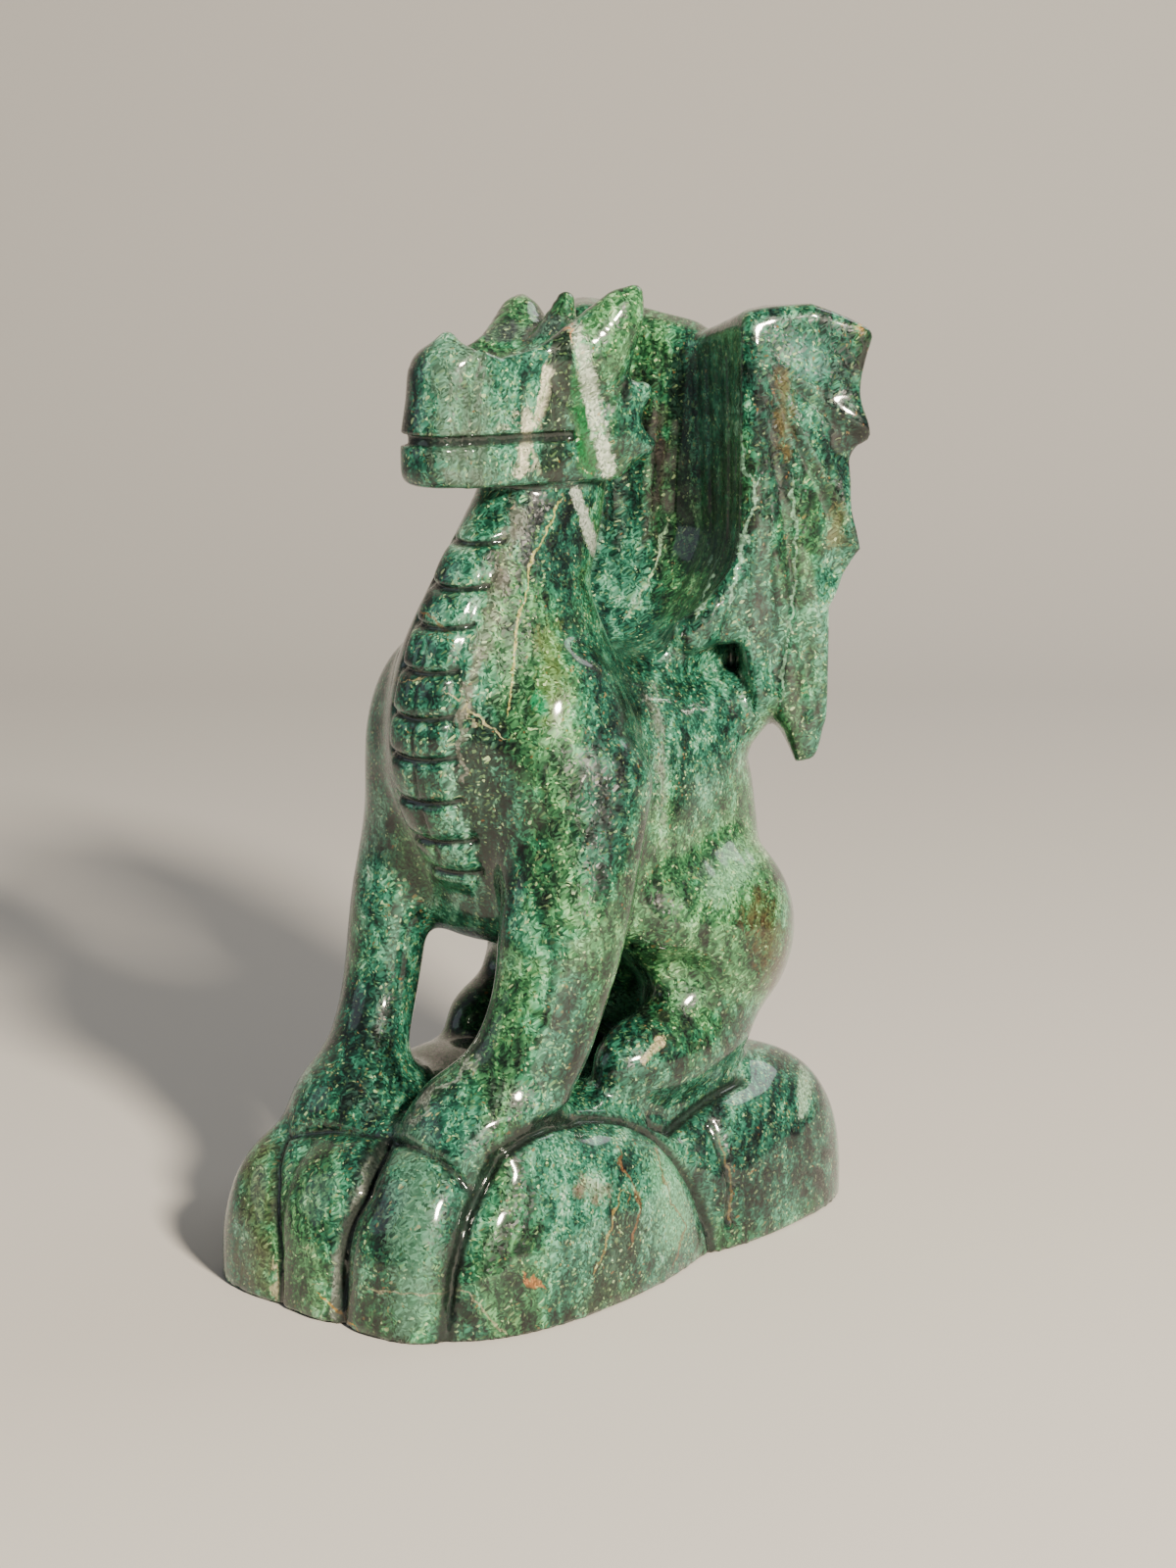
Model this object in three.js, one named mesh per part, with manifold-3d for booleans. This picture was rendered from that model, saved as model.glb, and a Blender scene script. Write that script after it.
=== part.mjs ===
// A dragon carved from one block of green jade: it sits upright with raised wings on a mound of
// boulders. The row frame has +Z up and the origin under the middle of the carving, on its flat
// underside; the dragon faces -Y, and its left side is +X. Sizes are millimetres.
//
// The carving is one closed surface. Each limb, boulder and wing is a distance function, and the
// functions are blended together, sampled on a grid and reduced to the faceted solid.
import * as THREE from "three";
import Module from "manifold-3d";

// Driving sizes of the finished carving
const FIGURE_HEIGHT = 206; // terrace of the mound to the horn tips
const MOUND_RISE = 50; // underside to the terrace that the paws stand on
const MOUND_LENGTH = 175; // front to back, at the foot of the boulders
const MOUND_WIDTH = 105; // side to side, at the foot of the boulders
const WING_THICKNESS = 10; // added between the trough and the back of the wings
const WING_EDGE = 6.5; // of the wing sheet at its scalloped edge
const CREASE_DEPTH = 2.2; // of the deeper grooves between the boulders
const PLATE_GROOVE = 1.5; // depth of the grooves between the belly plates
const MOUTH_GROOVE = 1.8; // depth of the slit between the jaws

// The figure keeps its pose and proportions as shares of its height: its points are written for
// these sizes, with the terrace at the drawn rise, and scaled to the sizes above.
const DRAWN = { figure: 206, rise: 50, length: 175, width: 105 };
const SCALE = FIGURE_HEIGHT / DRAWN.figure;

// Mesh settings
const GRID_STEP = 2.8;
const TRIANGLES = 9600;
const SUNK = 6; // how far the sampled shape runs below the underside before it is cut flat

const clamp = (v, lo, hi) => Math.min(hi, Math.max(lo, v));
const mix = (a, b, t) => a + (b - a) * t;
const smooth = (t) => {
  const c = clamp(t, 0, 1);
  return c * c * (3 - 2 * c);
};

// Union, intersection and difference of two distances, with a fillet about k wide
function join(k, a, b) {
  const h = Math.max(k - Math.abs(a - b), 0) / k;
  return Math.min(a, b) - (h * h * k) / 4;
}
const meet = (k, a, b) => -join(k, -a, -b);
const carve = (k, a, tool) => -join(k, -a, tool);

// Distance to a rounded stone: power 2 is an ellipsoid, and a higher power is squarer
function stone(x, y, z, centre, radii, power = 2) {
  const a = Math.abs(x - centre[0]) / radii[0];
  const b = Math.abs(y - centre[1]) / radii[1];
  const c = Math.abs(z - centre[2]) / radii[2];
  const size = Math.max((a ** power + b ** power + c ** power) ** (1 / power), 1e-6);
  const slope = Math.hypot(
    a ** (power - 1) / radii[0],
    b ** (power - 1) / radii[1],
    c ** (power - 1) / radii[2],
  );
  return (size - 1) / (slope / size ** (power - 1));
}

// A smooth line through stations [x, y, z, radius], as short straight pieces
function bend(...stations) {
  const pieces = 5;
  const line = [];
  for (let i = 0; i + 1 < stations.length; i++) {
    const before = stations[Math.max(i - 1, 0)];
    const after = stations[Math.min(i + 2, stations.length - 1)];
    for (let n = 0; n < pieces; n++) {
      const t = n / pieces;
      line.push(
        stations[i].map((a, c) => {
          const b = stations[i + 1][c];
          const [p, q] = [(b - before[c]) / 2, (after[c] - a) / 2];
          return a + t * p + t * t * (3 * (b - a) - 2 * p - q) + t ** 3 * (p + q - 2 * (b - a));
        }),
      );
    }
  }
  return [...line, stations[stations.length - 1]];
}

// Distance to a limb of round section along such a line
function limb(x, y, z, line) {
  let nearest = Infinity;
  for (let i = 0; i + 1 < line.length; i++) {
    const [ax, ay, az, ar] = line[i];
    const [bx, by, bz, br] = line[i + 1];
    const [ux, uy, uz] = [bx - ax, by - ay, bz - az];
    const along = (x - ax) * ux + (y - ay) * uy + (z - az) * uz;
    const t = clamp(along / (ux * ux + uy * uy + uz * uz), 0, 1);
    const d = Math.hypot(x - ax - t * ux, y - ay - t * uy, z - az - t * uz) - mix(ar, br, t);
    nearest = Math.min(nearest, d);
  }
  return nearest;
}

// A value that runs through pairs [at, value], straight between them
function through(pairs, at) {
  const last = pairs.length - 1;
  if (at <= pairs[0][0]) return pairs[0][1];
  for (let i = 0; i < last; i++) {
    const [a, va] = pairs[i];
    const [b, vb] = pairs[i + 1];
    if (at <= b) return mix(va, vb, (at - a) / (b - a));
  }
  return pairs[last][1];
}

// The mound: a core and the boulders around it, drawn as [centre], [radii]
const CORE = [[0, -3, 2], [47, 83, 45]];
const BOULDERS = [
  [[24, -32, 2], [28, 46, 45]], // the big dome under the left fore paw
  [[24, 46, 4], [27.5, 41.5, 42]], // behind it, under the left haunch
  [[20, -62, 2], [19, 25, 41]], // front, left of the middle
  [[-5, -62, 2], [18, 25, 40]], // front, middle
  [[-28, -56, 2], [21, 31, 39]], // front, right
  [[-25, -8, 2], [27, 36, 48]], // right side
  [[-24, 44, 3], [27, 40, 42]], // under the right haunch
  [[0, 62, 0], [22, 23, 40]], // back
];

// Grooves cut round the boulders, each as its share of the crease depth and a line on the mound
const MOUND_FORM = [[0, -2, 2], [52, 86, 46]];
const GROOVE_SPREAD = 4;
const GROOVES = [
  [0.8, [-28, -71, 38], [-20, -82, 25], [-15, -87, 14], [-13.5, -88, -6]],
  [1.2, [2.5, -64, 40], [8.5, -77, 31.5], [6.4, -82, 23], [8.3, -85, -6]],
  [1.2, [35, -59, 42], [34, -64.5, 34.6], [35.6, -76.6, 16.4], [35.8, -79, -6]],
  [1.2, [35, -60, 42], [37.5, -42, 47], [34, -24, 44], [40, -3, 36], [45, 10, 16], [47, 13, -6]],
  [0.6, [-28, -71, 37], [-16, -67.7, 41], [3, -63, 41.5]],
  [0.6, [5, -64, 41], [18, -69.7, 44], [31, -68, 38.5], [34, -67, 34]],
  [1, [37.5, 0, 37], [38, 7, 34], [37.5, 37.5, 40]],
].map(([share, ...line]) => [share, line.map(onForm)]);

// A point drawn in to the plain form of the mound, along the line from its middle
function onForm(point) {
  const [centre, radii] = MOUND_FORM;
  const shares = point.map((v, i) => (Math.abs(v - centre[i]) / radii[i]) ** 2.5);
  const size = Math.max((shares[0] + shares[1] + shares[2]) ** (1 / 2.5), 0.2);
  return point.map((v, i) => centre[i] + (v - centre[i]) / size);
}

// The top of the mound keeps its fit with the figure, and its foot takes up a change in the rise
const FOOT = 15;
function toDrawnMound(x, y, z) {
  const stretch = (MOUND_RISE - DRAWN.rise + FOOT) / FOOT;
  const drawnHeight = Math.max(z - MOUND_RISE + DRAWN.rise, FOOT) + Math.min(z / stretch - FOOT, 0);
  return [(x * DRAWN.width) / MOUND_WIDTH, (y * DRAWN.length) / MOUND_LENGTH, drawnHeight];
}

function mound(x, y, z) {
  const at = toDrawnMound(x, y, z);
  let d = stone(...at, ...CORE, 2.6);
  let [nearest, second] = [Infinity, Infinity];
  for (const boulder of BOULDERS) {
    const b = stone(...at, ...boulder, 2.5);
    if (b < nearest) [nearest, second] = [b, nearest];
    else if (b < second) second = b;
    d = join(12, d, b);
  }
  // A hollow follows each line where two boulders meet
  const crease = Math.max(0, 1 - (second - nearest) / 9);
  return d + (CREASE_DEPTH / 2) * crease * crease * smooth(1 - Math.abs(nearest) / 12);
}

function grooveDepth(x, y, z) {
  const at = onForm(toDrawnMound(x, y, z));
  let depth = 0;
  for (const [share, line] of GROOVES)
    for (let i = 0; i + 1 < line.length; i++) {
      const away = Math.hypot(...fromPiece(at, line[i], line[i + 1]));
      depth = Math.max(depth, share * CREASE_DEPTH * Math.exp(-((away / GROOVE_SPREAD) ** 2)));
    }
  return depth * smooth((MOUND_RISE + 3 - z) / 4) * mix(0.4, 1, smooth(z / 12));
}

function fromPiece(p, a, b) {
  const u = b.map((v, i) => v - a[i]);
  const w = p.map((v, i) => v - a[i]);
  const t = (w[0] * u[0] + w[1] * u[1] + w[2] * u[2]) / (u[0] ** 2 + u[1] ** 2 + u[2] ** 2);
  return w.map((v, i) => v - clamp(t, 0, 1) * u[i]);
}

// Trunk, neck, haunches and legs
function torso(x, y, z) {
  const side = Math.abs(x);
  let d = stone(x, y, z, [0, -17, 143], [27, 33, 42]); // chest
  d = join(14, d, stone(x, y, z, [0, 22, 124], [34, 50, 36])); // belly and back
  d = join(12, d, stone(x, y, z, [0, 1, 104], [33, 33, 21], 3)); // underside
  d = join(12, d, stone(x, y, z, [0, 44, 92], [33, 32, 46])); // rump
  d = join(12, d, stone(side, y, z, SHOULDER, [12, 20, 30]));
  d = join(12, d, limb(x * NECK_NARROW, y, z, NECK));
  d = join(9, d, stone(side, y, z, [31, 40, 80], [13, 27, 25])); // haunches
  d = join(12, d, limb(side, y, z, THIGH));
  return carve(5, d, stone(side, y, z, [43, 4, 74], [14, 17, 9]));
}
const SHOULDER = [25.8, -18, 134];
const NECK_NARROW = 1.28; // the neck is this much deeper than it is wide
const NECK = bend(
  [0, -12, 160, 25],
  [0, -11.5, 179, 22],
  [0, -3, 196, 19.6],
  [0, 4.5, 216, 17.4],
);
const THIGH = bend(
  [30, 38, 84, 17],
  [31, 14, 90, 11],
);

// Each leg's section is an oval that is broader along this direction, mirrored on the right
const LEG_BROAD = { x: 0.766, y: 0.643, stretch: 1.32 };
const FORELEG_LEFT = bend(
  [30, -18, 132, 13],
  [31, -29, 100, 12.6],
  [30, -35.5, 78, 11],
  [27, -41, 62, 11],
  [22, -48, 50, 12],
);
const FORELEG_RIGHT = bend(
  [-28, -18, 130, 12],
  [-29, -28, 98, 11],
  [-28.5, -34, 72, 10.2],
  [-26.5, -41, 58, 10.4],
  [-24, -51, 44, 12],
);

function foreleg(x, y, z, stations, turn) {
  // Draw the broad direction in towards the leg's own line before measuring
  const t = clamp((stations[0][2] - z) / (stations[0][2] - stations[4][2]), 0, 1);
  const cx = mix(stations[0][0], stations[4][0], t);
  const cy = mix(stations[0][1], stations[4][1], t);
  const along = (x - cx) * LEG_BROAD.x * turn + (y - cy) * LEG_BROAD.y;
  const pull = along * (1 / LEG_BROAD.stretch - 1);
  return limb(x + pull * LEG_BROAD.x * turn, y + pull * LEG_BROAD.y, z, stations);
}

function paws(x, y, z) {
  const side = Math.abs(x);
  let d = stone(x, y, z, [22, -49, 44], [18, 21, 11.5]); // left fore paw
  d = join(3, d, stone(x, y, z, [-22, -48, 43], [17, 19, 11])); // right fore paw
  const back = x > 0 ? 0 : RIGHT_HIND_SHIFT;
  return join(6, d, stone(side, y - back, z, [30, 18, 53], [13, 29, 13]));
}
const RIGHT_HIND_SHIFT = 8; // the right hind paw sits further back

// The tail leaves the rump and lies along the right side of the mound
const TAIL = bend(
  [0, 58, 66, 16],
  [-4, 72, 50, 12],
  [-20, 74, 43, 10],
  [-37, 60, 40, 9],
  [-44, 36, 40, 7.5],
  [-45, 12, 39, 5],
);

// Wings. Each is a thick sheet: its outer face runs back from a sharp fold to a scalloped edge,
// its inner face turns in from the fold to the trough between the wings, and its back is hollow.
const FOLD = [31, 46.7]; // in plan, on the outer face
const SHEET = [0.653, 0.757]; // in plan, from the fold towards the scalloped edge
const TROUGH_LEAN = 0.11; // how far the inner face turns back from square to the outer face
const TROUGH_ROUND = 8;
const SWEEP = { from: 190, to: 163, reach: 17 }; // the fold curves forward below this height
const BACK_CENTRE = 82;
const BACK_HOLLOW = 14;
const BACK_RISE = 31;
const BACK_CLEFT = 6; // depth of the groove between the wings, seen from behind
const BACK_FALL = 13; // how far the wing roots draw in towards the spine at their foot
const CROWN = [[-6, 249], [7, 251], [19, 252], [38, 246.5]];
const CROWN_DIP = { width: 26, depth: 6 }; // over the trough
const HEM = [[-20, 160], [0, 160], [4, 146], [10, 142], [13, 136], [16, 126], [24, 125]];
// Tips of the scalloped edge as [distance behind the fold, height], and how deep each bay is
const EDGE_TIPS = [[24.8, 130], [25, 170], [33.5, 186], [36.4, 214.5], [39.6, 246]];
const EDGE_BAYS = [0, -1.5, 4.5, 4];
const ROOT_HEM = 100; // the roots of the wings run down inside the back
const ROOT_EDGE = { from: 8, to: 22 }; // distance from the middle over which the hem rises
const WRIST = [3, 240]; // where the finger ribs start
const RIB = { height: 1.3, spread: 4.4 };
const RIB_TIPS = [[37, 216], [34, 187], [24, 140], [14, 138], [4, 146]];
const WEB = bend(
  [8, 34, 131, 19],
  [22, 53, 141, 11],
);
const LIP = bend(
  [29.5, 44.5, 178, 1],
  [25.5, 40, 169, 3.6],
  [21, 37, 164, 5],
);

function scallops(z) {
  for (let i = 0; i < EDGE_BAYS.length; i++) {
    const [[from, low], [to, high]] = [EDGE_TIPS[i], EDGE_TIPS[i + 1]];
    if (z > high) continue;
    const t = clamp((z - low) / (high - low), 0, 1);
    return mix(from, to, t) - EDGE_BAYS[i] * Math.sin(Math.PI * t);
  }
  return EDGE_TIPS[EDGE_TIPS.length - 1][0];
}

function toSegment(px, py, a, b) {
  const [ux, uy] = [b[0] - a[0], b[1] - a[1]];
  const t = clamp(((px - a[0]) * ux + (py - a[1]) * uy) / (ux * ux + uy * uy), 0, 1);
  return Math.hypot(px - a[0] - t * ux, py - a[1] - t * uy);
}

function wings(x, y, z) {
  const side = Math.abs(x);
  const behind = (side - FOLD[0]) * SHEET[0] + (y - FOLD[1]) * SHEET[1];
  const outside = (side - FOLD[0]) * SHEET[1] - (y - FOLD[1]) * SHEET[0];
  // Finger ribs stand up from the outer face
  let rib = 0;
  for (const tip of RIB_TIPS) {
    const away = toSegment(behind, z, WRIST, tip);
    rib = Math.max(rib, RIB.height * Math.exp(-((away / RIB.spread) ** 2)));
  }
  // The inner faces meet in a rounded trough on the middle plane
  const near = Math.hypot(side, TROUGH_ROUND);
  const sweep = clamp((SWEEP.from - z) / (SWEEP.from - SWEEP.to), 0, 1.2);
  const front = -SWEEP.reach * sweep ** 1.7;
  const innerBehind = (near - FOLD[0]) * SHEET[0] + (y - FOLD[1]) * SHEET[1];
  const innerOutside = (near - FOLD[0]) * SHEET[1] - (y - FOLD[1]) * SHEET[0];
  const inner = front - innerBehind + TROUGH_LEAN * innerOutside;
  const hollow = BACK_HOLLOW * Math.sin((Math.PI * clamp(side, 0, 2 * BACK_RISE)) / (2 * BACK_RISE));
  const spread = WING_THICKNESS / SCALE - 10;
  const cleft = BACK_CLEFT * Math.exp(-((side / 5) ** 2)) + BACK_FALL * smooth((150 - z) / 44);
  const back = 0.9 * (y - (BACK_CENTRE - hollow - cleft) - spread);
  const edge = behind - scallops(z);
  const trailing = WING_EDGE / SCALE - 6.5;
  let d = meet(2, outside - rib, inner);
  d = meet(4, d, meet(5, back - trailing, edge));
  const crown = through(CROWN, behind) - CROWN_DIP.depth * Math.max(0, 1 - side / CROWN_DIP.width);
  const outward = smooth((side - ROOT_EDGE.from) / (ROOT_EDGE.to - ROOT_EDGE.from));
  const hem = mix(ROOT_HEM, through(HEM, behind), outward);
  d = meet(5, d, meet(4, z - crown, hem - z));
  d = join(10, d, limb(side, y, z, WEB));
  return join(4, d, limb(side, y, z, LIP));
}

// The head, in its own frame: forward, left and up from a point above the neck
const HEAD = { x: 0, y: -5, turn: (6 * Math.PI) / 180 };
const SNOUT_TIP = 40.5;
const JAW_UNDER = 207.5;
const MOUTH_LINE = 220;
const HEAD_HALF_WIDTH = [[-20, 19], [-8, 17.5], [15, 13.5], [32, 11.5], [44, 10.5]];
const HEAD_TOP = [[-22, 250], [-14, 250], [-3, 246], [12, 241.5], [20, 240], [28, 243], [42, 238]];
const HORN_TILT = 0.075; // the left horn stands higher than the right
const HORN = bend(
  [-9, 15, 238, 9],
  [-14, 19, 247, 6],
  [-17, 21.5, 253.8, 2.2],
);
const HORN_BLADE = bend(
  [-3, 13.5, 238, 7.5],
  [-13, 19, 250.5, 3.6],
);
const CREST = bend(
  [-8, 0, 238, 8],
  [-13, 0, 253.2, 2.4],
);
const FRILL = [
  bend([-14, 12, 221, 8], [-23, 18.5, 228.5, 2.6]),
  bend([-15, 12.5, 217, 8], [-24, 18.5, 214.5, 2.8]),
];
const NOSE = bend(
  [29.5, 0, 236, 7],
  [28.5, 0, 244.2, 2.2],
);

function head(x, y, z) {
  const [px, py] = [x - HEAD.x, y - HEAD.y];
  const [c, s] = [Math.cos(HEAD.turn), Math.sin(HEAD.turn)];
  const forward = -py * c - px * s;
  const left = px * c - py * s;
  const side = Math.abs(left);
  const half = through(HEAD_HALF_WIDTH, forward);
  const ridge = half - 2.5;
  const trough = 4.5 * clamp(1 - (side / ridge) ** 2, 0, 1) * smooth((28 - forward) / 12);
  const top = through(HEAD_TOP, forward) - trough;
  // The face is round in plan, and the nose slopes back above the mouth
  const slope = 0.2 * Math.max(0, z - MOUTH_LINE);
  const round = SNOUT_TIP - 10 - slope;
  const reach = forward > round ? Math.hypot(forward - round, side * 0.85) - 10 : -20;
  let d = meet(3.5, side - half, meet(3, z - top, JAW_UNDER - z));
  d = meet(5, d, Math.max(reach, -forward - 19));
  const tilted = z - HORN_TILT * left;
  for (const spike of [HORN, HORN_BLADE, ...FRILL])
    d = join(5, d, limb(forward, side, tilted, spike));
  d = join(4, d, limb(forward, side, z, CREST));
  d = join(5, d, limb(forward, side, z, NOSE));
  // Cut the slit between the jaws
  const slit = Math.hypot(z - MOUTH_LINE + 0.5, Math.max(0, -forward));
  return carve(1.5, d, Math.max(slit - 1.1, -d - MOUTH_GROOVE / SCALE));
}

// Belly plates: a raised strip down the chest with grooves between the plates
const PLATE_HEIGHTS = [107.5, 116.5, 127.5, 139, 149.5, 161, 172, 181.5, 192.5];
const PLATE_HALF = [[102, 5], [108, 8.5], [117, 10], [140, 10.3], [162, 8.4], [182, 8.6], [200, 7]];
const PLATE_STAND = 1.7; // how far the strip stands above the chest
const PLATE_CUT = 1.6; // half the width of a groove between plates
function plates(x, y, z, d) {
  if (y > -5 || z > 200 || z < 98) return d;
  const edge = through(PLATE_HALF, z) - Math.abs(x);
  const fade = smooth((199 - z) / 8) * smooth((z - 101) / 5);
  const middle = Math.exp(-((x / PLATE_CUT) ** 2));
  let groove = 0.9 * middle * smooth((180 - z) / 20) * smooth((z - 106) / 8);
  for (const height of PLATE_HEIGHTS) {
    const arch = height + 0.012 * x * x;
    groove = Math.max(groove, Math.exp(-(((z - arch) / PLATE_CUT) ** 2)));
  }
  return d - fade * smooth(edge / 1.8 + 0.5) * (PLATE_STAND - (PLATE_GROOVE / SCALE) * groove);
}

// The figure without its mound, in drawn millimetres
function figure(x, y, z) {
  let d = plates(x, y, z, torso(x, y, z));
  if (z < 160 && x > 0) d = join(7, d, foreleg(x, y, z, FORELEG_LEFT, 1));
  if (z < 160 && x < 0) d = join(7, d, foreleg(x, y, z, FORELEG_RIGHT, -1));
  if (z > 90 && y > -10) d = join(6, d, wings(x, y, z));
  if (z > 190) d = join(3, d, head(x, y, z));
  if (z > 110) return d;
  return join(5, join(10, d, paws(x, y, z)), limb(x, y, z, TAIL));
}

function carving(x, y, z) {
  const drawnHeight = DRAWN.rise + (z - MOUND_RISE) / SCALE;
  const d = SCALE * figure(x / SCALE, y / SCALE, drawnHeight);
  if (z > MOUND_RISE + 30) return d;
  return join(8, d, mound(x, y, z)) + grooveDepth(x, y, z);
}

// Marching tetrahedra: six around each cell's diagonal, so neighbouring cells always agree
const CORNERS = [
  [0, 0, 0], [1, 0, 0], [1, 1, 0], [0, 1, 0], [0, 0, 1], [1, 0, 1], [1, 1, 1], [0, 1, 1],
];
const TETRAHEDRA = [[0, 1, 2, 6], [0, 2, 3, 6], [0, 3, 7, 6], [0, 7, 4, 6], [0, 4, 5, 6], [0, 5, 1, 6]];

function polygonise(field, low, high, step) {
  const n = low.map((v, i) => Math.ceil((high[i] - v) / step) + 1);
  const values = new Float64Array(n[0] * n[1] * n[2]);
  const index = (i, j, k) => i + n[0] * (j + n[1] * k);
  const place = (id) => {
    const i = id % n[0];
    const j = Math.floor(id / n[0]) % n[1];
    const k = Math.floor(id / (n[0] * n[1]));
    return [low[0] + i * step, low[1] + j * step, low[2] + k * step];
  };
  for (let id = 0; id < values.length; id++) values[id] = field(...place(id)) || 1e-9;
  const points = [];
  const faces = [];
  const made = new Map();
  const crossing = (a, b) => {
    const key = a < b ? a * values.length + b : b * values.length + a;
    if (made.has(key)) return made.get(key);
    const t = clamp(values[a] / (values[a] - values[b]), 0.02, 0.98);
    const [pa, pb] = [place(a), place(b)];
    points.push(pa.map((v, i) => mix(v, pb[i], t)));
    made.set(key, points.length - 1);
    return points.length - 1;
  };
  const inward = (a, b, c, towards) => {
    const [pa, pb, pc, pt] = [points[a], points[b], points[c], place(towards)];
    const u = pb.map((v, i) => v - pa[i]);
    const v = pc.map((w, i) => w - pa[i]);
    const normal = [u[1] * v[2] - u[2] * v[1], u[2] * v[0] - u[0] * v[2], u[0] * v[1] - u[1] * v[0]];
    return normal.reduce((sum, w, i) => sum + w * (pt[i] - pa[i]), 0) > 0;
  };
  const add = (a, b, c, solid) => faces.push(inward(a, b, c, solid) ? [a, c, b] : [a, b, c]);
  for (let k = 0; k + 1 < n[2]; k++)
    for (let j = 0; j + 1 < n[1]; j++)
      for (let i = 0; i + 1 < n[0]; i++) {
        const ids = CORNERS.map(([a, b, c]) => index(i + a, j + b, k + c));
        const solids = ids.filter((id) => values[id] < 0).length;
        if (solids === 0 || solids === 8) continue;
        for (const tetrahedron of TETRAHEDRA) {
          const corners = tetrahedron.map((c) => ids[c]);
          const within = corners.filter((id) => values[id] < 0);
          const without = corners.filter((id) => values[id] >= 0);
          if (within.length === 1 || without.length === 1) {
            const [lone, rest] = within.length === 1 ? [within[0], without] : [without[0], within];
            const [a, b, c] = rest.map((id) => crossing(lone, id));
            add(a, b, c, within[0]);
          } else if (within.length === 2) {
            const [p, q] = within;
            const [r, s] = without;
            const [a, b, c, e] = [crossing(p, r), crossing(p, s), crossing(q, s), crossing(q, r)];
            add(a, b, c, p);
            add(a, c, e, q);
          }
        }
      }
  return { points, faces };
}

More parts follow.
